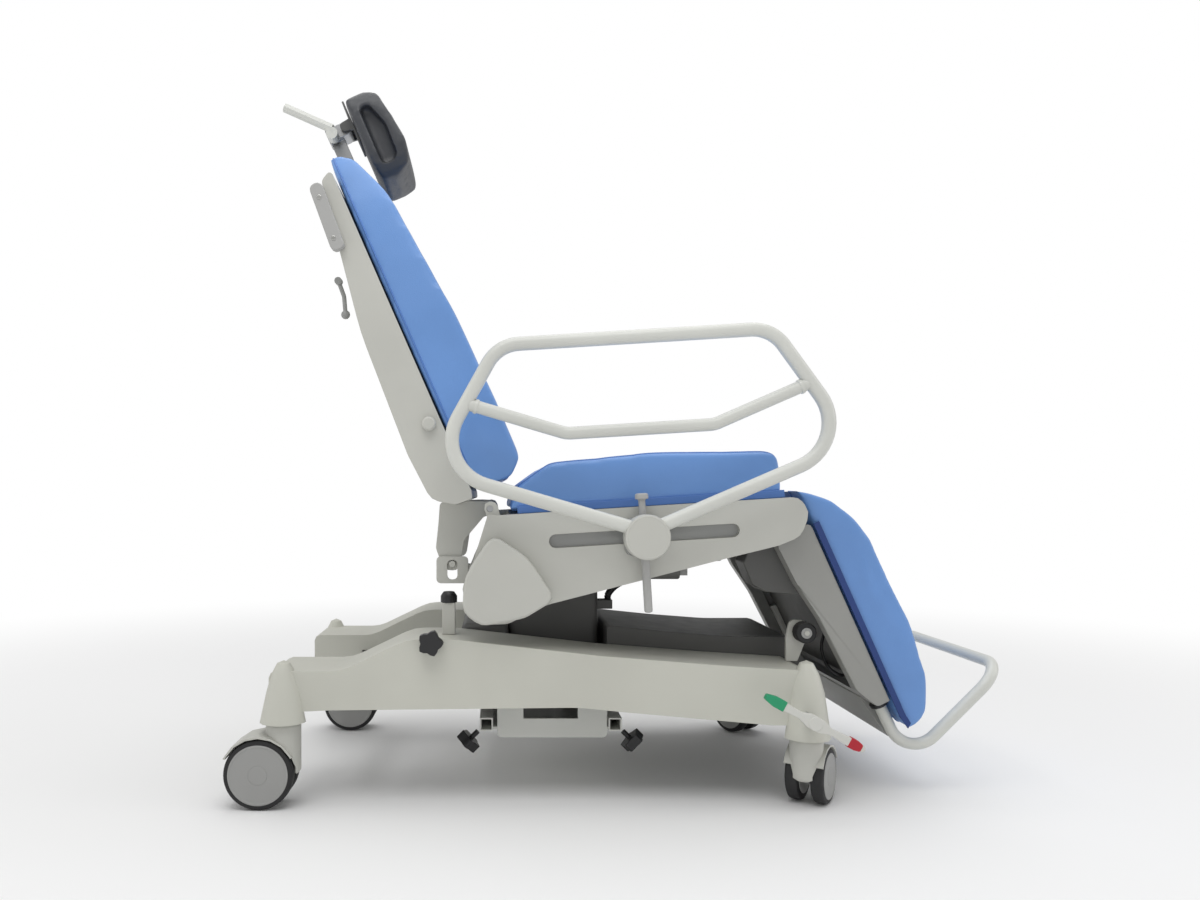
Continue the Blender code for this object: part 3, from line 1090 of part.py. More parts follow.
foot_bow = make_foot_bow()
for side, sign in SIDES:
    cut(leg_cushion, rod("cushion_bore_" + side, LEG.point(0.380, sign * BOW_HALF_WIDTH, BOW_N),
                         LEG.point(0.530, sign * BOW_HALF_WIDTH, BOW_N), BOW_TUBE_R + CLEAR))
join(leg_frame, prism("leg_board", rounded(LEG.corners(
    [(0.390, -0.034, 0.004), (LEG_LENGTH + 0.012, -0.018, 0.006), (LEG_LENGTH + 0.012, -0.004, 0.004),
     (0.385, -0.0010, 0.001)]), steps=2), -0.195, 0.195))
CABLE_ROUTE = (LEG.point(0.250, -0.150, -0.012), LEG.point(0.265, -0.150, -0.030), LEG.point(0.290, -0.150, -0.048),
               LEG.point(0.325, -0.150, -0.052), LEG.point(0.350, -0.150, -0.040), LEG.point(0.357, -0.150, -0.026))
leg_cable = tube("leg_cable", smooth_route(CABLE_ROUTE, 0.014), 0.003, BLACK, smoothness=2)

# ---------------------------------------------------------------- side rail
CARRIAGE_INNER = PLATE_OUTER_Y + 0.0015
CARRIAGE_OUTER = abs(RAIL_PLANE_Y) - RAIL_TUBE_R - 0.0055
HUB_R = 0.040
HUB_INNER = CARRIAGE_OUTER + 0.001
HUB_OUTER = abs(RAIL_PLANE_Y) + RAIL_TUBE_R + 0.0025
LOCK_R = 0.0075
LOCK_Y = -(CARRIAGE_INNER + CARRIAGE_OUTER) / 2


def make_rail_carriage():
    carriage = prism("rail_carriage", rounded(SEAT.corners(
        [(RAIL_HUB_S - 0.034, GROOVE_T - 0.034, 0.012), (RAIL_HUB_S + 0.034, GROOVE_T - 0.034, 0.012),
         (RAIL_HUB_S + 0.034, GROOVE_T + 0.034, 0.012), (RAIL_HUB_S - 0.034, GROOVE_T + 0.034, 0.012)]), steps=2),
        -CARRIAGE_OUTER, -CARRIAGE_INNER, DARK_GREY)
    half = GROOVE_WIDTH / 2 - SLIP
    tongue = [(RAIL_HUB_S - 0.030, GROOVE_T - half, 0.004), (RAIL_HUB_S + 0.030, GROOVE_T - half, 0.004),
              (RAIL_HUB_S + 0.030, GROOVE_T + half, 0.004), (RAIL_HUB_S - 0.030, GROOVE_T + half, 0.004)]
    join(carriage, prism("tongue", rounded(SEAT.corners(tongue), steps=1), -CARRIAGE_INNER - 0.002,
                         -(PLATE_OUTER_Y - GROOVE_DEPTH + 0.0015)))
    join(carriage, rod("rail_pivot", SEAT.point(RAIL_HUB_S, -CARRIAGE_OUTER + 0.002, GROOVE_T),
                       SEAT.point(RAIL_HUB_S, -HUB_OUTER + 0.006, GROOVE_T), 0.012, sides=20))
    cut(carriage, rod("lock_bore", SEAT.point(RAIL_HUB_S, LOCK_Y, -0.2), SEAT.point(RAIL_HUB_S, LOCK_Y, 0.1),
                      LOCK_R + SLIP))
    return carriage


rail_carriage = make_rail_carriage()
lock_rod = rod("lock_rod", SEAT.point(RAIL_HUB_S, LOCK_Y, -0.202), SEAT.point(RAIL_HUB_S, LOCK_Y, 0.002), LOCK_R,
               STEEL)
join(lock_rod, rod("lock_head", SEAT.point(RAIL_HUB_S, LOCK_Y, 0.000), SEAT.point(RAIL_HUB_S, LOCK_Y, 0.012), 0.012))
RAIL_OUTLINE = ((0.3733, 0.0782, 0.082), (0.2403, 0.287, 0.066))
MID_BAR = ((0.130, 0.125), (0.297, 0.186))


def rail_point(s, t):
    return SEAT.point(RAIL_HUB_S + s, RAIL_PLANE_Y, t)


def make_side_rail():
    low_t = GROOVE_T + 0.008
    loop = [(*rail_point(0.008, low_t + 0.004), 0)]
    loop += [(*rail_point(s, t), radius) for s, t, radius in RAIL_OUTLINE]
    loop += [(*rail_point(-s, t), radius) for s, t, radius in reversed(RAIL_OUTLINE)]
    loop += [(*rail_point(-0.008, low_t + 0.004), 0)]
    rail = tube("side_rail", rounded(loop, closed=False, steps=5), RAIL_TUBE_R, LIGHT_GREY)
    inner, outer = MID_BAR
    mid = [(*rail_point(outer[0], outer[1]), 0), (*rail_point(inner[0], inner[1]), 0.05),
           (*rail_point(-inner[0], inner[1]), 0.05), (*rail_point(-outer[0], outer[1]), 0)]
    join(rail, tube("mid_bar", rounded(mid, closed=False, steps=3), RAIL_TUBE_R * 0.9))
    join(rail, rod("rail_hub", SEAT.point(RAIL_HUB_S, -HUB_INNER, GROOVE_T),
                   SEAT.point(RAIL_HUB_S, -HUB_OUTER, GROOVE_T), HUB_R, sides=32))
    cut(rail, rod("hub_bore", SEAT.point(RAIL_HUB_S, -HUB_INNER + 0.01, GROOVE_T),
                  SEAT.point(RAIL_HUB_S, -HUB_OUTER + 0.005, GROOVE_T), 0.012 + SLIP, sides=20))
    return rail


side_rail = make_side_rail()

# ---------------------------------------------------------------- moving assemblies
middle_axis = on_axis("column_middle_axis", (COLUMN_X, 0, COLUMN_FOOT_Z), [column_middle])
lift_axis = on_axis("lift_axis", (COLUMN_X, 0, COLUMN_TOP_Z), [
    column_sleeve, seat_frame, *seat_plates, *pivot_covers, seat_pan, seat_cushion,
    back_hinge_shaft, leg_hinge_shaft, back_actuator, leg_actuator, conduit])
on_axis("back_rod_axis", (back_pin_x, BACK_ROD_Y, ROD_Z), [back_rod], lift_axis)
on_axis("leg_rod_axis", (leg_pin_x, LEG_ROD_Y, LEG_ROD_Z), [leg_rod], lift_axis)
back_axis = on_axis("back_axis", (BACK_HINGE_X, 0, BACK_HINGE_Z),
                    [back_shell, back_cushion, back_lever, *push_handles], lift_axis)
on_axis("release_axis", BACK.point(RELEASE_U, RELEASE_Y, RELEASE_N), [release_lever], back_axis)
on_axis("shell_knob_axis", BACK.point(0.1865, -SHELL_HALF_Y, -0.0394), [shell_knob], back_axis)
post_axis = on_axis("head_post_axis", BACK.point(POST_FOOT_U, 0, 0.015), [head_post], back_axis)
on_axis("clamp_lever_axis", BACK.point(LEVER_U, CLAMP_LEVER_Y, LEVER_N), [clamp_lever], post_axis)
on_axis("head_tilt_axis", BACK.point(PIVOT_U, 0, PIVOT_N), [head_plate, head_pad], post_axis)
leg_axis = on_axis("leg_axis", LEG.point(0, 0, 0), [leg_frame, leg_cushion, leg_cable], lift_axis)
on_axis("foot_bow_axis", LEG.point(0.260, 0, BOW_N), [foot_bow], leg_axis)
carriage_axis = on_axis("carriage_axis", SEAT.point(RAIL_HUB_S, -PLATE_OUTER_Y, GROOVE_T), [rail_carriage], lift_axis)
on_axis("rail_axis", SEAT.point(RAIL_HUB_S, RAIL_PLANE_Y, GROOVE_T), [side_rail], carriage_axis)
on_axis("lock_axis", SEAT.point(RAIL_HUB_S, LOCK_Y, 0), [lock_rod], carriage_axis)
on_axis("roller_axis", (ROLLER_X, ROLLER_Y, ROLLER_Z), [buffer_roller])
on_axis("pole_knob_axis", (POLE_X - 0.0286, -KNOB_FACE_Y, BEAM_TOP_Z - 0.004), [pole_knob])
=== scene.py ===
import json
import math

import bpy
from mathutils import Matrix, Vector

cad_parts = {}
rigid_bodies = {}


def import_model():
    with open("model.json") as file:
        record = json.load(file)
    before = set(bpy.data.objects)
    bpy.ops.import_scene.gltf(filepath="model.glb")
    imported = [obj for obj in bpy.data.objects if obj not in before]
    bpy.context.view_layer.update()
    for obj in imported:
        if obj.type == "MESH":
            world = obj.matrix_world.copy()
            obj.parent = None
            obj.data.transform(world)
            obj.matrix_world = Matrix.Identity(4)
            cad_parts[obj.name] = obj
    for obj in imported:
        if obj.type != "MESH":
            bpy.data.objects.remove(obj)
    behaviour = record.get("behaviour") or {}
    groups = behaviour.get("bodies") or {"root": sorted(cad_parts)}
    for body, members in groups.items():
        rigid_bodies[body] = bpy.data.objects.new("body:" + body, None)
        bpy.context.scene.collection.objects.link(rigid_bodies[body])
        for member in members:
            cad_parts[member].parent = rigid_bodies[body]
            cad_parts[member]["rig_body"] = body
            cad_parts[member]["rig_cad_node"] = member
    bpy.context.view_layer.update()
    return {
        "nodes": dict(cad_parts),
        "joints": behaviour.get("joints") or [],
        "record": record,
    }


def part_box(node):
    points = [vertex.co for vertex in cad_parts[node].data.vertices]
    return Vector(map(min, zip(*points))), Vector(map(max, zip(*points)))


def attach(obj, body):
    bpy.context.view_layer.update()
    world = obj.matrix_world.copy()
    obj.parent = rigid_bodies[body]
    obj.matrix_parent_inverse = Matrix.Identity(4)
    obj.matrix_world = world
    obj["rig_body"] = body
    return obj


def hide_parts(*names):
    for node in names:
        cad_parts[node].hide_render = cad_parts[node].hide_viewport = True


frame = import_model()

nodes = frame["nodes"]
joints = {joint["name"]: joint for joint in frame["joints"]}
bodies = frame["record"]["behaviour"]["bodies"]
body_of = {node: body for body, members in bodies.items() for node in members}
SIDES = (("right", -1), ("left", 1))
CORNERS = ("rear_right", "rear_left", "front_right", "front_left")


# ---------------------------------------------------------------- working frames of the tilted sections
class Section:
    """u runs along a section, n stands out of its padded face, y runs across the trolley."""

    def __init__(self, hinge, slider, face):
        self.origin = Vector(joints[hinge]["pos_m"])
        self.along = Vector(joints[slider]["axis"]).normalized()
        self.out = Vector((-self.along.z, 0, self.along.x)) * face

    def point(self, u, y, n):
        return self.origin + self.along * u + self.out * n + Vector((0, y, 0))

    def local(self, place):
        offset = Vector(place) - self.origin
        return offset.dot(self.along), offset.y, offset.dot(self.out)


seat = Section("back_section", "rail_carriage", 1)
back = Section("back_section", "head_post", -1)
leg = Section("leg_section", "foot_bow", 1)


# ---------------------------------------------------------------- effects shared by the finishes
def new_group(name, inputs, outputs):
    group = bpy.data.node_groups.new(name, 'ShaderNodeTree')
    for label, kind, value in inputs:
        socket = group.interface.new_socket(label, in_out='INPUT', socket_type=kind)
        if value is not None:
            socket.default_value = value
    for label, kind in outputs:
        group.interface.new_socket(label, in_out='OUTPUT', socket_type=kind)
    return group, group.nodes.new('NodeGroupInput'), group.nodes.new('NodeGroupOutput')


def add_node(tree, kind, values=None, **settings):
    node = tree.nodes.new(kind)
    for key, value in settings.items():
        setattr(node, key, value)
    for key, value in (values or {}).items():
        node.inputs[key].default_value = value
    return node


def noise(tree, vector, scale, detail):
    node = add_node(tree, 'ShaderNodeTexNoise', {"Detail": detail, "Roughness": 0.5})
    tree.links.new(vector, node.inputs["Vector"])
    if isinstance(scale, (int, float)):
        node.inputs["Scale"].default_value = scale
    else:
        tree.links.new(scale, node.inputs["Scale"])
    return node.outputs["Fac"]


def compute(tree, operation, first, second, clamp=False):
    node = add_node(tree, 'ShaderNodeMath', operation=operation, use_clamp=clamp)
    for socket, value in zip(node.inputs, (first, second)):
        if isinstance(value, (int, float)):
            socket.default_value = value
        else:
            tree.links.new(value, socket)
    return node.outputs[0]


def ramp(tree, value, low, high):
    limits = {"From Min": low, "From Max": high}
    node = add_node(tree, 'ShaderNodeMapRange', limits, interpolation_type='SMOOTHSTEP')
    tree.links.new(value, node.inputs["Value"])
    return node.outputs["Result"]


def make_moulded_grain():
    """Fine spark texture of a moulded shell, with a slow swell under it."""
    group, start, end = new_group("moulded_grain", [
        ("Vector", 'NodeSocketVector', None), ("Scale", 'NodeSocketFloat', 900.0),
        ("Swell", 'NodeSocketFloat', 0.2)],
        [("Height", 'NodeSocketFloat')])
    fine = noise(group, start.outputs["Vector"], start.outputs["Scale"], 2.0)
    slow = noise(group, start.outputs["Vector"], 9.0, 1.0)
    slow = compute(group, 'MULTIPLY', slow, start.outputs["Swell"])
    group.links.new(compute(group, 'ADD', fine, slow), end.inputs["Height"])
    return group


def make_edge_wear():
    """Worn line along edges, broken up by noise: 1 where the surface turns within the width."""
    group, start, end = new_group("edge_wear", [
        ("Vector", 'NodeSocketVector', None), ("Width", 'NodeSocketFloat', 0.0015),
        ("Amount", 'NodeSocketFloat', 0.5)],
        [("Mask", 'NodeSocketFloat')])
    bevel = add_node(group, 'ShaderNodeBevel', samples=4)
    group.links.new(start.outputs["Width"], bevel.inputs["Radius"])
    surface = add_node(group, 'ShaderNodeNewGeometry')
    dot = add_node(group, 'ShaderNodeVectorMath', operation='DOT_PRODUCT')
    group.links.new(bevel.outputs["Normal"], dot.inputs[0])
    group.links.new(surface.outputs["Normal"], dot.inputs[1])
    turned_away = compute(group, 'SUBTRACT', 1.0, dot.outputs["Value"], clamp=True)
    line = ramp(group, turned_away, 0.07, 0.32)
    broken = ramp(group, noise(group, start.outputs["Vector"], 60.0, 4.0), 0.42, 0.62)
    mask = compute(group, 'MULTIPLY', line, broken)
    group.links.new(compute(group, 'MULTIPLY', mask, start.outputs["Amount"], clamp=True), end.inputs["Mask"])
    return group


def make_tone_drift():
    """Slow change of tone over a large surface, 0 to 1."""
    group, start, end = new_group("tone_drift", [
        ("Vector", 'NodeSocketVector', None), ("Scale", 'NodeSocketFloat', 4.0),
        ("Amount", 'NodeSocketFloat', 0.5)],
        [("Mask", 'NodeSocketFloat')])
    drift = ramp(group, noise(group, start.outputs["Vector"], start.outputs["Scale"], 3.0), 0.3, 0.7)
    group.links.new(compute(group, 'MULTIPLY', drift, start.outputs["Amount"]), end.inputs["Mask"])
    return group


def make_settled_dust():
    """Dust on what faces up, thicker in patches."""
    group, start, end = new_group("settled_dust", [
        ("Vector", 'NodeSocketVector', None), ("Amount", 'NodeSocketFloat', 0.1)],
        [("Mask", 'NodeSocketFloat')])
    surface = add_node(group, 'ShaderNodeNewGeometry')
    split = add_node(group, 'ShaderNodeSeparateXYZ')
    group.links.new(surface.outputs["Normal"], split.inputs[0])
    upward = ramp(group, split.outputs["Z"], 0.35, 1.0)
    patch = ramp(group, noise(group, start.outputs["Vector"], 14.0, 5.0), 0.35, 0.75)
    mask = compute(group, 'MULTIPLY', upward, patch)
    group.links.new(compute(group, 'MULTIPLY', mask, start.outputs["Amount"]), end.inputs["Mask"])
    return group


def make_hide_grain():
    """Pebbled grain of coated upholstery: small cells, softened, with long shallow folds."""
    group, start, end = new_group("hide_grain", [
        ("Vector", 'NodeSocketVector', None), ("Scale", 'NodeSocketFloat', 420.0),
        ("Folds", 'NodeSocketFloat', 0.6)],
        [("Height", 'NodeSocketFloat'), ("Cells", 'NodeSocketFloat')])
    cells = add_node(group, 'ShaderNodeTexVoronoi', feature='DISTANCE_TO_EDGE')
    group.links.new(start.outputs["Vector"], cells.inputs["Vector"])
    group.links.new(start.outputs["Scale"], cells.inputs["Scale"])
    pebble = ramp(group, cells.outputs["Distance"], 0.0, 0.28)
    folds = noise(group, start.outputs["Vector"], 26.0, 2.0)
    folds = compute(group, 'MULTIPLY', folds, start.outputs["Folds"])
    group.links.new(compute(group, 'ADD', pebble, folds), end.inputs["Height"])
    group.links.new(pebble, end.inputs["Cells"])
    return group


def make_drawn_lines():
    """Hair-fine lines along one axis, as on drawn or brushed bar."""
    group, start, end = new_group("drawn_lines", [
        ("Vector", 'NodeSocketVector', None), ("Stretch", 'NodeSocketVector', (30.0, 900.0, 900.0))],
        [("Height", 'NodeSocketFloat')])
    mapping = add_node(group, 'ShaderNodeMapping')
    group.links.new(start.outputs["Vector"], mapping.inputs["Vector"])
    group.links.new(start.outputs["Stretch"], mapping.inputs["Scale"])
    group.links.new(noise(group, mapping.outputs["Vector"], 1.0, 2.0), end.inputs["Height"])
    return group


MOULDED_GRAIN = make_moulded_grain()
EDGE_WEAR = make_edge_wear()
TONE_DRIFT = make_tone_drift()
SETTLED_DUST = make_settled_dust()
HIDE_GRAIN = make_hide_grain()
DRAWN_LINES = make_drawn_lines()


# ---------------------------------------------------------------- finishes
def linear(red, green, blue):
    """Linear colour from 0..255 screen values."""
    return tuple(((value / 255 + 0.055) / 1.055) ** 2.4 for value in (red, green, blue)) + (1.0,)


def place_group(tree, group, vector, values):
    node = add_node(tree, 'ShaderNodeGroup', node_tree=group)
    tree.links.new(vector, node.inputs["Vector"])
    for label, value in values.items():
        node.inputs[label].default_value = value
    return node


def mix_colour(tree, factor, first, second):
    node = add_node(tree, 'ShaderNodeMix', data_type='RGBA')
    tree.links.new(factor, node.inputs["Factor"])
    colour_inputs = [socket for socket in node.inputs if socket.type == 'RGBA']
    for socket, value in zip(colour_inputs, (first, second)):
        if isinstance(value, tuple):
            socket.default_value = value
        else:
            tree.links.new(value, socket)
    return [socket for socket in node.outputs if socket.type == 'RGBA'][0]


def shade(colour, factor):
    return tuple(min(1.0, channel * factor) for channel in colour[:3]) + (1.0,)


WEAR_WIDTH = 0.0015


class Finish:
    """A material under way: its tree, its shader and its Object coordinates."""

    DUST = linear(196, 192, 180)

    def __init__(self, name, **sockets):
        self.material = bpy.data.materials.new(name)
        self.material.use_nodes = True
        self.tree = self.material.node_tree
        self.shader = self.tree.nodes["Principled BSDF"]
        self.vector = add_node(self.tree, 'ShaderNodeTexCoord').outputs["Object"]
        for label, value in sockets.items():
            self.shader.inputs[label.replace("_", " ").title()].default_value = value

    def colour(self, base, drift=0.1, drift_scale=4.0, wear=None, wear_amount=0.0, dust=0.0):
        tree = self.tree
        tone = place_group(tree, TONE_DRIFT, self.vector, {"Scale": drift_scale, "Amount": 1.0})
        result = mix_colour(tree, tone.outputs["Mask"], shade(base, 1 - drift), shade(base, 1 + drift * 0.6))
        if dust:
            film = place_group(tree, SETTLED_DUST, self.vector, {"Amount": dust})
            result = mix_colour(tree, film.outputs["Mask"], result, self.DUST)
        if wear:
            worn = place_group(tree, EDGE_WEAR, self.vector, {"Width": WEAR_WIDTH, "Amount": wear_amount})
            result = mix_colour(tree, worn.outputs["Mask"], result, wear)
        tree.links.new(result, self.shader.inputs["Base Color"])
        return self

    def roughness(self, low, high, scale=35.0):
        spread = add_node(self.tree, 'ShaderNodeMapRange', {"To Min": low, "To Max": high})
        self.tree.links.new(noise(self.tree, self.vector, scale, 5.0), spread.inputs["Value"])
        self.tree.links.new(spread.outputs["Result"], self.shader.inputs["Roughness"])
        return self

    def relief(self, height, distance, strength):
        bump = add_node(self.tree, 'ShaderNodeBump', {"Distance": distance, "Strength": strength})
        self.tree.links.new(height, bump.inputs["Height"])
        self.tree.links.new(bump.outputs["Normal"], self.shader.inputs["Normal"])
        return self

    def grain(self, scale):
        group = place_group(self.tree, MOULDED_GRAIN, self.vector, {"Scale": scale, "Swell": 0.2})
        return self.relief(group.outputs["Height"], 0.0001, 0.5)


def moulded(name, base, low=0.38, high=0.52, grain=900.0, wear=None, wear_amount=0.0, dust=0.0, drift=0.05):
    """Moulded plastic or enamel: roughness from low to high, fine grain, worn edges and dust where asked."""
    finish = Finish(name).colour(base, drift, wear=wear, wear_amount=wear_amount, dust=dust)
    return finish.roughness(low, high).grain(grain).material


def bare_metal(name, base, low, high, stretch):
    finish = Finish(name, metallic=1.0).colour(base, 0.08, 9.0).roughness(low, high, 120.0)
    lines = place_group(finish.tree, DRAWN_LINES, finish.vector, {"Stretch": stretch})
    return finish.relief(lines.outputs["Height"], 0.00005, 0.4).material


def coated_cloth(name, base, scale, low, high, **sockets):
    finish = Finish(name, **sockets).colour(base, 0.07, 5.0).roughness(low, high, 60.0)
    hide = place_group(finish.tree, HIDE_GRAIN, finish.vector, {"Scale": scale, "Folds": 0.5})
    return finish.relief(hide.outputs["Height"], 0.00018, 0.55).material


SHELL_GREY = moulded("shell_light_grey", linear(192, 192, 185), wear=linear(222, 222, 217),
                     wear_amount=0.3, dust=0.05)
# Leg shell grey is darker than the shell grey as painted shade: it stands in for the shadow on the leg
# shell's lower side.
LEG_SHADED_GREY = moulded("leg_shell_painted_shade_grey", linear(152, 152, 148), wear=linear(184, 184, 180),
                   wear_amount=0.3, dust=0.08)
CHASSIS_GREY = moulded("chassis_warm_grey", linear(198, 198, 188), wear=linear(226, 226, 220),
                       wear_amount=0.35, dust=0.12)
COVER_DARK = moulded("cover_dark_grey", linear(92, 92, 90), 0.42, 0.6, wear=linear(150, 150, 148),
                     wear_amount=0.3, dust=0.12)
GROOVE_GREY = moulded("track_mid_grey", linear(146, 147, 145), 0.4, 0.55, wear=linear(190, 190, 188),
                      wear_amount=0.5)
BLACK_PLASTIC = moulded("knob_black", linear(30, 30, 32), 0.3, 0.48, 1300.0, wear=linear(90, 90, 92),
                        wear_amount=0.35)
BOOT_BLACK = moulded("tread_black", linear(34, 34, 35), 0.55, 0.75, 700.0, dust=0.2, drift=0.15)
ENAMEL = moulded("rail_enamel", linear(208, 209, 203), 0.26, 0.38, 260.0)
FRAME_PAINT = moulded("frame_grey_paint", linear(150, 151, 148), 0.35, 0.5, 300.0,
                      wear=linear(110, 108, 104), wear_amount=0.6, dust=0.15)
WHEEL_GREY = moulded("wheel_disc_grey", linear(158, 158, 156), 0.4, 0.55, dust=0.08)
PEDAL_GREY = moulded("pedal_light_grey", linear(206, 206, 200), 0.4, 0.55, 500.0,
                     wear=linear(150, 150, 146), wear_amount=0.5)
PEDAL_GREEN = moulded("pedal_go_green", linear(30, 150, 104), 0.4, 0.5, 500.0)
PEDAL_RED = moulded("pedal_stop_red", linear(178, 22, 40), 0.4, 0.5, 500.0)
HANDLE_GREY = moulded("grip_mid_grey", linear(172, 172, 170), 0.45, 0.6, 700.0)
STEEL = bare_metal("bare_steel", linear(178, 179, 180), 0.24, 0.4, (30.0, 900.0, 900.0))
ZINC = bare_metal("zinc_screws", linear(196, 196, 192), 0.22, 0.38, (400.0, 400.0, 60.0))
BLUE_VINYL = coated_cloth("upholstery_blue", linear(106, 150, 212), 420.0, 0.36, 0.46,
                          coat_weight=0.08, coat_roughness=0.35)
BLUE_PIPING = coated_cloth("piping_blue", linear(82, 124, 192), 700.0, 0.36, 0.5)
# Dark blue of painted shade: the shadowed lower edge of the leg cushion.
BLUE_PAINTED_SHADE = coated_cloth("cushion_edge_painted_shade_blue", linear(34, 62, 124), 700.0, 0.5, 0.65)
HEAD_VINYL = coated_cloth("head_rest_charcoal", linear(58, 60, 64), 560.0, 0.34, 0.48,
                          coat_weight=0.1, coat_roughness=0.3)


# ---------------------------------------------------------------- making and finishing pieces
ROUNDED_ANGLE = 38.0         # edges sharper than this are rounded, and the rest shaded smooth
MERGE = 0.00001


def deselect():
    if bpy.context.mode != 'OBJECT':
        bpy.ops.object.mode_set(mode='OBJECT')
    bpy.ops.object.select_all(action='DESELECT')


def pick(obj):
    deselect()
    obj.select_set(True)
    bpy.context.view_layer.objects.active = obj


def apply_modifier(obj, kind, **settings):
    pick(obj)
    step = obj.modifiers.new(kind.lower(), kind)
    for key, value in settings.items():
        setattr(step, key, value)
    bpy.ops.object.modifier_apply(modifier=step.name)


def smooth(obj, angle, weighted=True):
    pick(obj)
    bpy.ops.object.shade_smooth_by_angle(angle=math.radians(angle))
    if weighted:
        apply_modifier(obj, 'WEIGHTED_NORMAL', keep_sharp=True)


def settle(obj, name, material, body):
    """The piece's place goes into its mesh, and it gets its name, finish and body."""
    pick(obj)
    bpy.ops.object.transform_apply(location=True, rotation=True, scale=True)
    obj.name = name
    obj.data.name = name
    obj.data.materials.clear()
    obj.data.materials.append(material)
    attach(obj, body)


def copy_node(node):
    """A loose copy of a CAD node with its corners merged and its flat faces made whole."""
    pick(nodes[node])
    bpy.ops.object.duplicate()
    piece = bpy.context.active_object
    piece.parent = None
    piece.matrix_world = Matrix.Identity(4)
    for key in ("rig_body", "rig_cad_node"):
        del piece[key]
    bpy.ops.object.mode_set(mode='EDIT')
    bpy.ops.mesh.select_all(action='SELECT')
    bpy.ops.mesh.remove_doubles(threshold=2 * MERGE)
    bpy.ops.mesh.dissolve_limited(angle_limit=math.radians(0.6))
    bpy.ops.object.mode_set(mode='OBJECT')
    return piece


def dress(node, name, material, edge):
    """A CAD node's own shape with rounded edges and a finished surface."""
    piece = copy_node(node)
    if edge:
        apply_modifier(piece, 'BEVEL', width=edge, segments=2, limit_method='ANGLE',
                       angle_limit=math.radians(ROUNDED_ANGLE), use_clamp_overlap=True)
    smooth(piece, ROUNDED_ANGLE)
    settle(piece, name, material, body_of[node])
    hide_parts(node)


def turned(name, profile, origin, axis, material, body, steps=32):
    """A round piece built up from a disc: each further (radius, height) is extruded from the last."""
    radius, height = profile[0]
    deselect()
    bpy.ops.mesh.primitive_circle_add(vertices=steps, radius=radius, fill_type='NGON',
                                      location=(0, 0, height))
    obj = bpy.context.active_object
    bpy.ops.object.transform_apply(location=True, rotation=True, scale=True)
    bpy.ops.object.mode_set(mode='EDIT')
    bpy.ops.mesh.select_all(action='SELECT')
    for next_radius, next_height in profile[1:]:
        rise = (0, 0, next_height - height)
        bpy.ops.mesh.extrude_region_move(TRANSFORM_OT_translate={"value": rise})
        factor = next_radius / radius
        bpy.ops.transform.resize(value=(factor, factor, 1), center_override=(0, 0, next_height))
        radius, height = next_radius, next_height
    bpy.ops.mesh.select_all(action='SELECT')
    bpy.ops.mesh.normals_make_consistent(inside=False)
    bpy.ops.object.mode_set(mode='OBJECT')
    turn = Vector(axis).to_track_quat('Z', 'Y').to_matrix().to_4x4()
    obj.matrix_world = Matrix.Translation(origin) @ turn
    settle(obj, name, material, body)
    smooth(obj, angle=35.0)
    return obj


def rounded_route(corners, steps):
    """Corner points (position, radius) as one line, with an arc in each corner that has a radius."""
    points = []
    for index, (here, radius) in enumerate(corners):
        here = Vector(here)
        if not radius:
            points.append(here)
            continue
        before = Vector(corners[index - 1][0]) - here
        after = Vector(corners[index + 1][0]) - here
        half_angle = before.angle(after) / 2
        reach = min(radius / math.tan(half_angle), before.length * 0.499, after.length * 0.499)
        actual = reach * math.tan(half_angle)
        start = here + before.normalized() * reach
        end = here + after.normalized() * reach
        bisector = (before.normalized() + after.normalized()).normalized()
        centre = here + bisector * (actual / math.sin(half_angle))
        first = start - centre
        last = end - centre
        sweep = first.angle(last)
        for step in range(steps + 1):
            t = step / steps
            spoke = first * math.sin((1 - t) * sweep) + last * math.sin(t * sweep)
            points.append(centre + spoke / math.sin(sweep))
    return points


def tube(name, points, radius, material, body, resolution=6, radii=None):
    """A bent tube with filled ends along the points."""
    curve = bpy.data.curves.new(name, 'CURVE')
    curve.dimensions = '3D'
    curve.bevel_depth = radius
    curve.bevel_resolution = resolution
    curve.use_fill_caps = True
    spline = curve.splines.new('POLY')
    spline.points.add(len(points) - 1)
    for index, place in enumerate(points):
        spline.points[index].co = (*place, 1)
        if radii:
            spline.points[index].radius = radii[index]
    obj = bpy.data.objects.new(name, curve)
    bpy.context.scene.collection.objects.link(obj)
    pick(obj)
    bpy.ops.object.convert(target='MESH')
    bpy.ops.object.mode_set(mode='EDIT')
    bpy.ops.mesh.select_all(action='SELECT')
    bpy.ops.mesh.remove_doubles(threshold=MERGE)
    bpy.ops.mesh.normals_make_consistent(inside=False)
    bpy.ops.object.mode_set(mode='OBJECT')
    settle(obj, name, material, body)
    smooth(obj, angle=50.0, weighted=False)
    return obj


def smooth_route(points, step):
    """A smooth line through the given points, sampled about every step metres."""
    points = [Vector(point) for point in points]
    line = [points[0]]
    for i in range(len(points) - 1):
        before, start, end, after = (points[max(i - 1, 0)], points[i], points[i + 1],
                                     points[min(i + 2, len(points) - 1)])
        count = max(1, round((end - start).length / step))
        for j in range(1, count + 1):
            t = j / count
            square = 2 * before - 5 * start + 4 * end - after
            cube = 3 * start - before - 3 * end + after
            line.append(0.5 * (2 * start + (end - before) * t + square * t * t + cube * t ** 3))
    return line


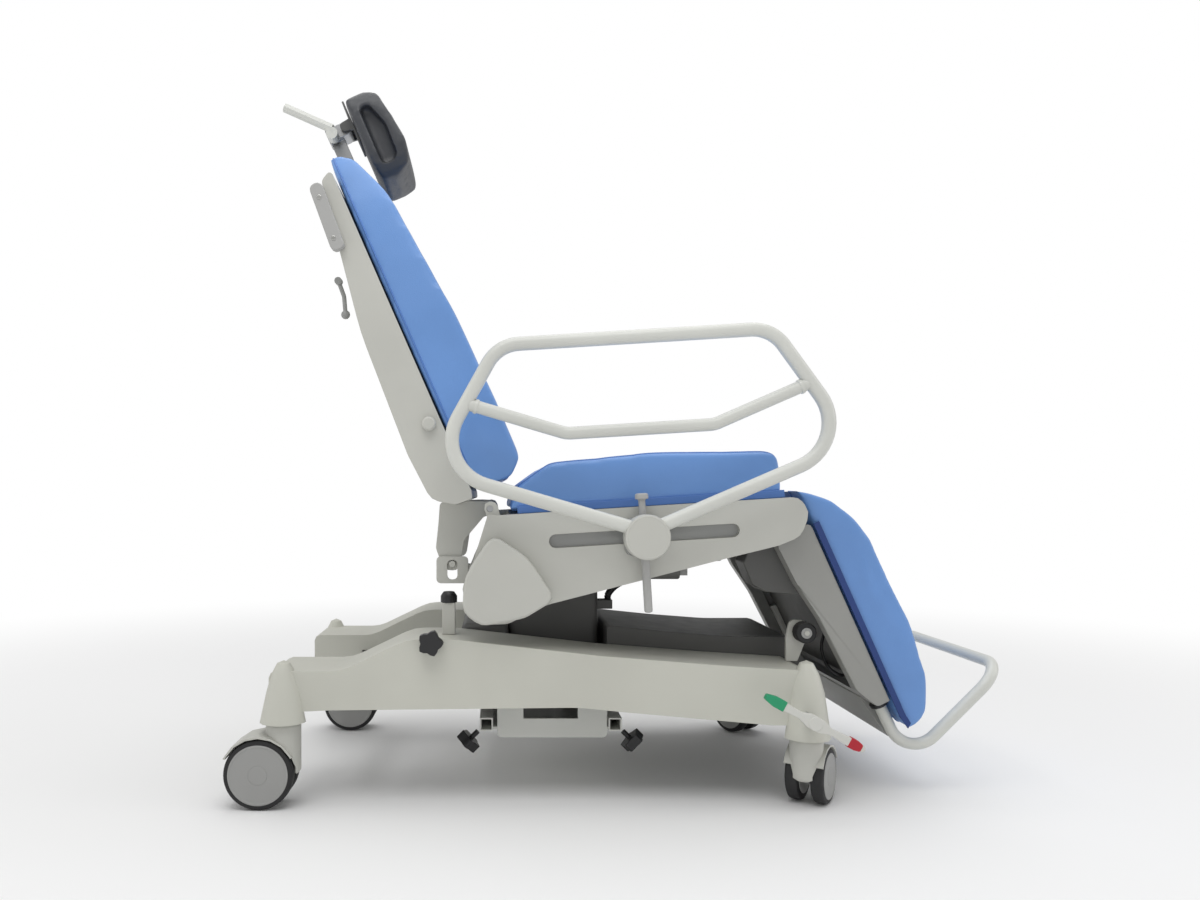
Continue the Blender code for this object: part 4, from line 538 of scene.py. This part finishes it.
def slab(name, outline, depth, matrix, material, body, edge):
    """A flat outline (x, y) given a thickness upwards, its edges rounded, then placed by the matrix."""
    deselect()
    bpy.ops.mesh.primitive_circle_add(vertices=len(outline), radius=1, fill_type='NGON')
    obj = bpy.context.active_object
    for vertex, (x, y) in zip(obj.data.vertices, outline):
        vertex.co = (x, y, 0)
    bpy.ops.object.mode_set(mode='EDIT')
    bpy.ops.mesh.select_all(action='SELECT')
    bpy.ops.mesh.extrude_region_move(TRANSFORM_OT_translate={"value": (0, 0, depth)})
    bpy.ops.mesh.select_all(action='SELECT')
    bpy.ops.mesh.normals_make_consistent(inside=False)
    bpy.ops.object.mode_set(mode='OBJECT')
    apply_modifier(obj, 'BEVEL', width=edge, segments=3, limit_method='ANGLE',
                   angle_limit=math.radians(40))
    obj.matrix_world = matrix
    settle(obj, name, material, body)
    smooth(obj, ROUNDED_ANGLE)


def joint_point(name):
    return Vector(joints[name]["pos_m"])


def joint_axis(name):
    return Vector(joints[name]["axis"]).normalized()


# ---------------------------------------------------------------- camera, floor and light
CAMERA_PLACE = (-0.2407, -1.972, 0.565)
FLOOR_SIZE = 60
FLOOR_DROP = 0.0005
SHADOW_REACH = (0.9, 3.4)    # from the middle, where the floor starts and ends turning into the backdrop
WORLD_LIGHT = 0.52
# place, turn, size and power of each softbox
SOFTBOXES = {
    "key": ((-0.6, -1.8, 3.4), (0.45, 0.0, 0.0), (2.6, 1.8), 42),
    "top": ((0.2, 0.7, 3.8), (-0.1, 0.0, 0.0), (3.5, 3.0), 48),
    "left": ((-3.4, -0.6, 1.9), (0.0, -1.15, 0.0), (2.0, 2.0), 10),
    "right": ((3.4, -0.5, 1.7), (0.0, 1.15, 0.0), (2.0, 2.0), 16)}


def seamless_floor():
    """White floor that takes soft shadows near the trolley and runs into the backdrop further off."""
    finish = Finish("floor_white", roughness=0.75).colour((0.88, 0.88, 0.88, 1.0), 0.01, 0.5)
    tree = finish.tree
    distance = add_node(tree, 'ShaderNodeVectorMath', operation='LENGTH')
    tree.links.new(finish.vector, distance.inputs[0])
    fade = ramp(tree, distance.outputs["Value"], *SHADOW_REACH)
    glow = add_node(tree, 'ShaderNodeEmission', {"Color": (1, 1, 1, 1), "Strength": 1.0})
    mix = add_node(tree, 'ShaderNodeMixShader')
    tree.links.new(fade, mix.inputs[0])
    tree.links.new(finish.shader.outputs[0], mix.inputs[1])
    tree.links.new(glow.outputs[0], mix.inputs[2])
    tree.links.new(mix.outputs[0], tree.nodes["Material Output"].inputs["Surface"])
    return finish.material


def backdrop():
    """Even white behind, dimmer as a source of light so that the softboxes shape the trolley."""
    world = bpy.data.worlds.new("studio")
    world.use_nodes = True
    tree = world.node_tree
    seen = tree.nodes["Background"]
    seen.inputs["Color"].default_value = (1, 1, 1, 1)
    path = add_node(tree, 'ShaderNodeLightPath')
    strength = add_node(tree, 'ShaderNodeMapRange', {"To Min": WORLD_LIGHT, "To Max": 1.0})
    tree.links.new(path.outputs["Is Camera Ray"], strength.inputs["Value"])
    tree.links.new(strength.outputs["Result"], seen.inputs["Strength"])
    return world


def set_stage():
    camera = bpy.data.objects.new("camera", bpy.data.cameras.new("camera"))
    camera.data.sensor_width = 36.0
    camera.data.lens = 28.0
    camera.data.shift_x = 0.0875
    camera.data.shift_y = 0.0358
    camera.location = CAMERA_PLACE
    camera.rotation_euler = (math.radians(90), 0, 0)
    bpy.context.scene.collection.objects.link(camera)
    bpy.context.scene.camera = camera
    deselect()
    bpy.ops.mesh.primitive_plane_add(size=FLOOR_SIZE, location=(0, 0, -FLOOR_DROP))
    floor = bpy.context.active_object
    floor.name = "studio_floor"
    floor.data.materials.append(seamless_floor())
    for name, (place, turn, size, power) in SOFTBOXES.items():
        light = bpy.data.objects.new(name + "_softbox", bpy.data.lights.new(name + "_softbox", 'AREA'))
        light.data.shape = 'RECTANGLE'
        light.data.size, light.data.size_y = size
        light.data.energy = power
        light.location = place
        light.rotation_euler = turn
        bpy.context.scene.collection.objects.link(light)
    bpy.context.scene.world = backdrop()
    bpy.context.scene.view_settings.view_transform = 'Standard'


set_stage()

# ---------------------------------------------------------------- hard parts that keep their shape
# each CAD node's finish and how far its edges are rounded
DRESSED = {
    "base_frame": (FRAME_PAINT, 0.0),
    **{"beam_cover_" + side: (CHASSIS_GREY, 0.004) for side, _ in SIDES},
    "centre_cover": (COVER_DARK, 0.003), "power_unit": (CHASSIS_GREY, 0.003),
    "column_box": (COVER_DARK, 0.002), "column_post": (STEEL, 0.001),
    "column_middle": (SHELL_GREY, 0.0015), "column_sleeve": (COVER_DARK, 0.0015),
    "pole_socket": (SHELL_GREY, 0.0015), "socket_cap": (BLACK_PLASTIC, 0.0008),
    "pole_knob": (BLACK_PLASTIC, 0.0015), "carrier": (ENAMEL, 0.0008),
    "carrier_knob_rear": (BLACK_PLASTIC, 0.0015), "carrier_knob_front": (BLACK_PLASTIC, 0.0015),
    "roller_bracket": (SHELL_GREY, 0.0015), "buffer_roller": (BOOT_BLACK, 0.001), "brake_shaft": (STEEL, 0.0),
    **{"brake_pedal_" + side: (PEDAL_GREY, 0.0015) for side, _ in SIDES},
    **{"castor_housing_" + corner: (SHELL_GREY, 0.0012) for corner in CORNERS},
    **{"seat_plate_" + side: (SHELL_GREY, 0.0025) for side, _ in SIDES},
    "back_hinge_shaft": (STEEL, 0.0), "leg_hinge_shaft": (STEEL, 0.0), "seat_frame": (FRAME_PAINT, 0.0),
    "back_actuator": (COVER_DARK, 0.0015), "leg_actuator": (COVER_DARK, 0.0015),
    "back_rod": (SHELL_GREY, 0.0008), "leg_rod": (STEEL, 0.0), "seat_pan": (COVER_DARK, 0.002),
    "back_shell": (SHELL_GREY, 0.003), "back_lever": (SHELL_GREY, 0.0012),
    **{"push_handle_" + side: (HANDLE_GREY, 0.0015) for side, _ in SIDES},
    "release_lever": (GROOVE_GREY, 0.0), "shell_knob": (SHELL_GREY, 0.001), "head_post": (STEEL, 0.001),
    "clamp_lever": (ENAMEL, 0.0012), "head_plate": (COVER_DARK, 0.0008), "leg_frame": (LEG_SHADED_GREY, 0.002),
    "rail_carriage": (GROOVE_GREY, 0.0015)}
for node, (finish, edge) in DRESSED.items():
    dress(node, node + "_body", finish, edge)


def make_pivot_cover(side, sign):
    """Cap over the lower end of a seat plate: a rim and a raised panel inside it."""
    node = "pivot_cover_" + side
    cap = copy_node(node)
    face_y = max(abs(corner.y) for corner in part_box(node))
    for face in cap.data.polygons:
        face.select = abs(face.center.y) > face_y - 0.0004 and face.normal.y * sign > 0.99
    bpy.ops.object.mode_set(mode='EDIT')
    bpy.ops.mesh.select_mode(type='FACE')
    bpy.ops.mesh.inset(thickness=0.006, depth=0.0)
    bpy.ops.mesh.inset(thickness=0.002, depth=0.0016)
    bpy.ops.object.mode_set(mode='OBJECT')
    apply_modifier(cap, 'BEVEL', width=0.0022, segments=3, limit_method='ANGLE',
                   angle_limit=math.radians(30), use_clamp_overlap=True)
    smooth(cap, ROUNDED_ANGLE)
    settle(cap, node + "_body", SHELL_GREY, body_of[node])
    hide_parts(node)


def flank_slab(name, origin, along, outline, y_from, y_to, material, node, edge):
    """A plate with its outline (u, n) in the side view, u along the given line, from one y to another."""
    out = Vector((-along.z, 0, along.x))
    across = along.cross(out)
    start = y_from if (y_to - y_from) * across.y > 0 else y_to
    turn = Matrix((along, out, across)).transposed().to_4x4()
    place = Matrix.Translation(Vector((origin.x, start, origin.z))) @ turn
    slab(name, outline, abs(y_to - y_from), place, material, body_of[node], edge)


def stadium(start, end, level, radius, steps=10):
    """A slot's outline: two half circles joined by straight edges."""
    outline = []
    for centre, first in ((end - radius, -90), (start + radius, 90)):
        for step in range(steps + 1):
            angle = math.radians(first + 180 * step / steps)
            outline.append((centre + radius * math.cos(angle), level + radius * math.sin(angle)))
    return outline


def make_seat_tracks():
    """Grey track on the floor of each seat plate's groove."""
    track_t = seat.local(joint_point("side_rail"))[2]
    for side, sign in SIDES:
        flank_slab("seat_track_" + side, seat.origin, seat.along, stadium(0.1042, 0.4478, track_t, 0.0117),
                   sign * 0.2752, sign * 0.2758, GROOVE_GREY, "seat_plate_" + side, 0.0002)


def make_grip_screws():
    head = [(0.0042, -0.0006), (0.0042, 0.0008), (0.0032, 0.0014)]
    for side, sign in SIDES:
        for u, n in ((0.562, -0.0620), (0.640, -0.0560)):
            turned("grip_screw_%s_%d" % (side, u * 1000), head, back.point(u, sign * 0.286, n), (0, sign, 0),
                   ZINC, "back", steps=20)


PEDAL_SLOPE = math.radians(28.6)


def make_pedal_details():
    """Green cap on the rear end of each brake pedal, red on the front end, and the hub's face."""
    slope = Vector((math.cos(PEDAL_SLOPE), 0, -math.sin(PEDAL_SLOPE)))
    hub = joint_point("brake_pedals")
    half_width = 0.0092
    for side, sign in SIDES:
        pedal = "brake_pedal_" + side
        for label, end, start, tip, finish in (("green", -0.0977, -0.060, 0.0056, PEDAL_GREEN),
                                               ("red", 0.090, 0.066, 0.0072, PEDAL_RED)):
            middle = (end + start) / 2
            outline = [(end, -tip * 0.7), (end, tip * 0.7), (end * 0.97, tip), (middle, half_width),
                       (start, half_width), (start, -half_width), (middle, -half_width), (end * 0.97, -tip)]
            flank_slab("pedal_%s_end_%s" % (label, side), hub, slope, outline, sign * 0.3505, sign * 0.3636,
                       finish, pedal, 0.0012)
        turned("pedal_hub_" + side, [(0.0125, -0.0008), (0.0125, 0.0002), (0.0115, 0.0010)],
               (hub.x, sign * 0.363, hub.z), (0, sign, 0), PEDAL_GREY, body_of[pedal])


def make_roller_hub():
    roller = joint_point("buffer_roller")
    face_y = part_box("buffer_roller")[0].y
    turned("buffer_roller_hub", [(0.0100, -0.0006), (0.0100, 0.0006), (0.0090, 0.0012)],
           (roller.x, face_y, roller.z), (0, -1, 0), WHEEL_GREY, body_of["buffer_roller"])


def make_lock_rod():
    """Pull rod through the rail's hub: flanged knob above, thicker grip below."""
    low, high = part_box("lock_rod")
    s = seat.local(joint_point("side_rail"))[0]
    rod = turned("lock_rod_body", [
        (0.0040, -0.2020), (0.0066, -0.2008), (0.0075, -0.1980), (0.0075, -0.0290), (0.0062, -0.0280),
        (0.0062, -0.0010), (0.0072, -0.0004), (0.0072, 0.0010), (0.0110, 0.0016), (0.0119, 0.0026),
        (0.0119, 0.0085), (0.0110, 0.0105), (0.0090, 0.0118), (0.0030, 0.0120)],
        seat.point(s, (low.y + high.y) / 2, 0.0), seat.out, HANDLE_GREY, "lock_rod",
        steps=28)
    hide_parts("lock_rod")


def make_leg_details():
    """Dark sheet in the leg shell's tray as painted shade, housing over its hinge, dark blue strips of
    painted shade along the leg cushion, and a skirt under the seat cushion's sides.
    """
    # Dark sheet closing the leg shell's tray: its dark grey is painted shade for the shadowed underside of
    # the leg.
    shade_sheet = [(0.050, -0.0066), (0.376, -0.0126), (0.376, -0.0138), (0.050, -0.0078)]
    flank_slab("leg_tray_shade_sheet", leg.origin, leg.along, shade_sheet, -0.2172, 0.2172, COVER_DARK,
               "leg_frame", 0.0003)
    housing = [(0.044, -0.0100), (0.036, -0.1000), (0.060, -0.1260), (0.105, -0.1280), (0.128, -0.1120),
               (0.160, -0.0600), (0.160, -0.0110)]
    flank_slab("leg_hinge_housing", leg.origin, leg.along, housing, -0.2165, -0.1550, COVER_DARK,
               "leg_frame", 0.004)
    # Dark blue strip along each lower edge of the leg cushion: painted shade for the cushion's shadowed
    # underside.
    shade_band = [(0.046, 0.0150), (0.250, 0.0086), (0.436, 0.0028), (0.462, 0.0070), (0.455, 0.0160),
            (0.436, 0.0140), (0.250, 0.0200), (0.046, 0.0265)]
    base = [(0.050, -0.0120), (0.5370, -0.0120), (0.5385, -0.0105), (0.5385, 0.0020), (0.050, 0.0020)]
    for side, sign in SIDES:
        flank_slab("leg_cushion_band_" + side, leg.origin, leg.along, shade_band, sign * 0.2480, sign * 0.2522,
                   BLUE_PAINTED_SHADE, "leg_cushion", 0.0009)
        flank_slab("seat_cushion_base_" + side, seat.origin, seat.along, base, sign * 0.2560, sign * 0.2694,
                   BLUE_PIPING, "seat_cushion", 0.0012)


for side, sign in SIDES:
    make_pivot_cover(side, sign)
make_seat_tracks()
make_grip_screws()
make_pedal_details()
make_roller_hub()
make_lock_rod()
make_leg_details()


# ---------------------------------------------------------------- side rail and foot bow
def make_side_rail():
    """Bent tube loop from hub to hub, a shaped middle bar welded into it, and the hub's cover."""
    hub = joint_point("side_rail")
    hub_s, plane_y, hub_t = seat.local(hub)
    tube_r = 0.0125
    outline = ((0.3733, 0.0782, 0.082), (0.2403, 0.287, 0.066))
    middle = ((0.130, 0.125), (0.297, 0.186))

    def rail_point(s, t):
        return seat.point(hub_s + s, plane_y, t)

    low = hub_t + 0.012
    corners = [(rail_point(0.008, low), 0)]
    corners += [(rail_point(s, t), corner_r) for s, t, corner_r in outline]
    corners += [(rail_point(-s, t), corner_r) for s, t, corner_r in reversed(outline)]
    corners += [(rail_point(-0.008, low), 0)]
    loop = tube("side_rail_loop", rounded_route(corners, 14), tube_r, ENAMEL, "side_rail")
    inner, outer = middle
    bar = [(rail_point(outer[0], outer[1]), 0), (rail_point(*inner), 0.05),
           (rail_point(-inner[0], inner[1]), 0.05), (rail_point(-outer[0], outer[1]), 0)]
    tube("side_rail_middle_bar", rounded_route(bar, 8), tube_r * 0.9, ENAMEL, "side_rail")
    weld = [(0.0112, 0.0), (0.0128, 0.0012), (0.0134, 0.004), (0.0128, 0.0068)]
    for label, sign in (("head", -1), ("foot", 1)):
        end = rail_point(sign * outer[0], outer[1])
        toward = (end - rail_point(sign * inner[0], inner[1])).normalized()
        turned("side_rail_weld_" + label, weld, end - toward * 0.0165, toward, ENAMEL, "side_rail",
               steps=28)
    low_corner, high_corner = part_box("side_rail")
    inner_y = high_corner.y
    depth = inner_y - low_corner.y
    turned("side_rail_hub", [(0.030, 0.0), (0.0385, 0.0), (0.040, 0.0015), (0.040, depth - 0.004),
                             (0.0388, depth - 0.0015), (0.036, depth - 0.0004), (0.0345, depth - 0.0009),
                             (0.033, depth - 0.0004), (0.010, depth)],
           (hub.x, inner_y, hub.z), (0, -1, 0), SHELL_GREY, "side_rail", steps=64)
    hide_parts("side_rail")


make_side_rail()


def make_foot_bow():
    """The two legs come out of the leg shell and turn up into the foot bar."""
    tube_r = 0.011
    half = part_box("foot_bow")[1].y - tube_r
    level = -0.0135
    corners = [(leg.point(0.260, -half, level), 0), (leg.point(0.531, -half, level), 0.050),
               (leg.point(0.4480, -half, 0.2280), 0.060)]
    mirrored = [((place[0], -place[1], place[2]), corner_r) for place, corner_r in reversed(corners)]
    bow = tube("foot_bow_tube", rounded_route(corners + mirrored, 14), tube_r, ENAMEL, "foot_bow")
    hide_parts("foot_bow")
    ring = tube_r + 0.0008
    bush = [(ring + 0.003, 0.0), (ring + 0.005, 0.0015), (ring + 0.005, 0.007), (ring + 0.003, 0.009)]
    for side, sign in SIDES:
        turned("foot_bow_bush_" + side, bush, leg.point(0.4035, sign * half, level), leg.along,
               BLACK_PLASTIC, "leg", steps=24)


make_foot_bow()


# ---------------------------------------------------------------- cushions and head pad
def swell(obj, pressure, cap):
    """Blows the closed skin up a little, as foam fills its cover, and limits how far each point may go."""
    before = [vertex.co.copy() for vertex in obj.data.vertices]
    pick(obj)
    step = obj.modifiers.new("cover", 'CLOTH')
    step.settings.quality = 4
    step.settings.mass = 0.3
    step.settings.use_pressure = True
    step.settings.uniform_pressure_force = pressure
    step.settings.effector_weights.gravity = 0
    for number in range(1, 21):
        bpy.context.scene.frame_set(number)
    bpy.ops.object.modifier_apply(modifier=step.name)
    bpy.context.scene.frame_set(1)
    for vertex, start in zip(obj.data.vertices, before):
        moved = vertex.co - start
        if moved.length > cap:
            vertex.co = start + moved.normalized() * cap


def keep_inside(obj, section, low=None, half_width=None):
    """Presses the skin flat where it rests on its board, and holds it within its width."""
    for vertex in obj.data.vertices:
        u, y, n = section.local(vertex.co)
        if low is not None:
            n = max(n, low)
        if half_width is not None:
            y = max(-half_width, min(half_width, y))
        vertex.co = section.point(u, y, n)


def piping(pad, name, plane, normal, node):
    """A thin cord sewn along the line where the plane meets the skin."""
    pick(pad)
    bpy.ops.object.duplicate()
    cord = bpy.context.active_object
    bpy.ops.object.mode_set(mode='EDIT')
    bpy.ops.mesh.select_all(action='SELECT')
    bpy.ops.mesh.bisect(plane_co=plane, plane_no=normal, clear_inner=True, clear_outer=True)
    bpy.ops.object.mode_set(mode='OBJECT')
    bpy.ops.object.convert(target='CURVE')
    cord.data.bevel_depth = 0.0018
    cord.data.bevel_resolution = 2
    bpy.ops.object.convert(target='MESH')
    bpy.ops.object.mode_set(mode='EDIT')
    bpy.ops.mesh.select_all(action='SELECT')
    bpy.ops.mesh.remove_doubles(threshold=MERGE)
    bpy.ops.mesh.normals_make_consistent(inside=False)
    bpy.ops.object.mode_set(mode='OBJECT')
    settle(cord, name, BLUE_PIPING, body_of[node])
    smooth(cord, angle=60.0, weighted=False)


PRESSURE = 4.0


def stuff(node, name, material, section, voxel, shrink, relax, cap, low=None, half_width=None, seams=()):
    """A padded piece in its CAD solid's space: skinned evenly, rounded, blown up and smoothed."""
    pad = copy_node(node)
    apply_modifier(pad, 'REMESH', mode='VOXEL', voxel_size=voxel, adaptivity=0.0)
    apply_modifier(pad, 'DISPLACE', strength=-shrink, mid_level=0.0)
    apply_modifier(pad, 'SMOOTH', factor=0.5, iterations=relax)
    swell(pad, PRESSURE, cap)
    keep_inside(pad, section, low, half_width)
    apply_modifier(pad, 'SMOOTH', factor=0.5, iterations=5)
    for number, (plane, normal) in enumerate(seams, 1):
        piping(pad, "%s_piping_%d" % (node, number), plane, normal, node)
    apply_modifier(pad, 'SUBSURF', levels=1, render_levels=1)
    pick(pad)
    bpy.ops.object.shade_smooth()
    settle(pad, name, material, body_of[node])
    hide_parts(node)


def side_seams(half_width):
    """The two upright planes this far from the middle, which cut a cushion along its seams."""
    return [((0, sign * half_width, 0), (0, 1, 0)) for _, sign in SIDES]


stuff("seat_cushion", "seat_cushion_pad", BLUE_VINYL, seat, voxel=0.0065, shrink=0.003, relax=8, cap=0.0022,
      low=-0.0095, half_width=0.271, seams=side_seams(0.2500))
stuff("back_cushion", "back_cushion_pad", BLUE_VINYL, back, voxel=0.0065, shrink=0.003, relax=8, cap=0.0022,
      low=-0.0172, half_width=0.271, seams=[(back.point(0, 0, -0.0060), back.out)])
stuff("leg_cushion", "leg_cushion_pad", BLUE_VINYL, leg, voxel=0.006, shrink=0.003, relax=12, cap=0.0022,
      half_width=0.251, seams=side_seams(0.1950))
stuff("head_pad", "head_rest_pad", HEAD_VINYL, back, voxel=0.004, shrink=0.0015, relax=5, cap=0.0012,
      low=0.0588)


# ---------------------------------------------------------------- castor wheels
def make_wheels(corner):
    """Twin wheels: a black tread with rounded shoulders around a grey disc with its hub cap."""
    axle = joint_axis("wheel_" + corner)
    centre = joint_point("wheel_" + corner)
    radius = centre.z
    body = "wheels_" + corner
    for label, sign in (("inner", -1), ("outer", 1)):
        out = axle * sign
        name = corner + "_" + label
        tread = turned("tread_" + name, [
            (radius - 0.0120, 0.0112), (radius - 0.0040, 0.0112), (radius - 0.0016, 0.0125),
            (radius - 0.0004, 0.0150), (radius, 0.0185), (radius, 0.0270), (radius - 0.0004, 0.0305),
            (radius - 0.0016, 0.0330), (radius - 0.0040, 0.0343), (radius - 0.0085, 0.0346),
            (radius - 0.0088, 0.0338)],
            centre, out, BOOT_BLACK, body, steps=64)
        turned("disc_" + name, [
            (radius - 0.0086, 0.0330), (radius - 0.0086, 0.0347), (radius - 0.0094, 0.0354),
            (radius - 0.0120, 0.0356), (radius - 0.0126, 0.0350), (radius - 0.0150, 0.0347),
            (0.0180, 0.0351), (0.0172, 0.0347), (0.0166, 0.0353), (0.0060, 0.0357)],
            centre, out, WHEEL_GREY, body, steps=64)
        web = [(radius - 0.0125, 0.0100), (radius - 0.0125, 0.0114), (radius - 0.018, 0.0116)]
        turned("web_" + name, web, centre, -out, WHEEL_GREY, body, steps=48)
        if sign < 0:
            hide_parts("castor_wheels_" + corner)
    turned("axle_" + corner, [(0.0056, -0.0118), (0.0056, 0.0118)], centre, axle, STEEL, body,
           steps=20)


for corner in CORNERS:
    make_wheels(corner)


# ---------------------------------------------------------------- conduit and lead
def make_conduit():
    """Corrugated conduit from the clip on the column to the seat frame."""
    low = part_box("conduit")[0]
    start_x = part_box("column_sleeve")[1].x - 0.008
    route = ((start_x, -0.064, low.z), (start_x + 0.002, -0.066, low.z + 0.012),
             (start_x + 0.014, -0.078, low.z + 0.028), (start_x + 0.033, -0.092, low.z + 0.042),
             (start_x + 0.046, -0.098, low.z + 0.054), (start_x + 0.050, -0.0985, low.z + 0.070),
             (start_x + 0.051, -0.0960, low.z + 0.090))
    line = smooth_route(route, 0.0014)
    ribs = [1.0 if index % 3 else 0.84 for index in range(len(line))]
    conduit = tube("conduit_ribbed", line, 0.007, BLACK_PLASTIC, "lift",
                   resolution=5, radii=ribs)
    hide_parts("conduit")


def make_leg_lead():
    """Lead that loops out of the leg shell and back in."""
    places = ((0.250, -0.012), (0.265, -0.030), (0.290, -0.048), (0.325, -0.052), (0.350, -0.040),
              (0.357, -0.026))
    route = smooth_route([leg.point(u, -0.150, n) for u, n in places], 0.006)
    lead = tube("leg_lead", route, 0.003, BLACK_PLASTIC, "leg", resolution=4)
    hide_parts("leg_cable")


make_conduit()
make_leg_lead()
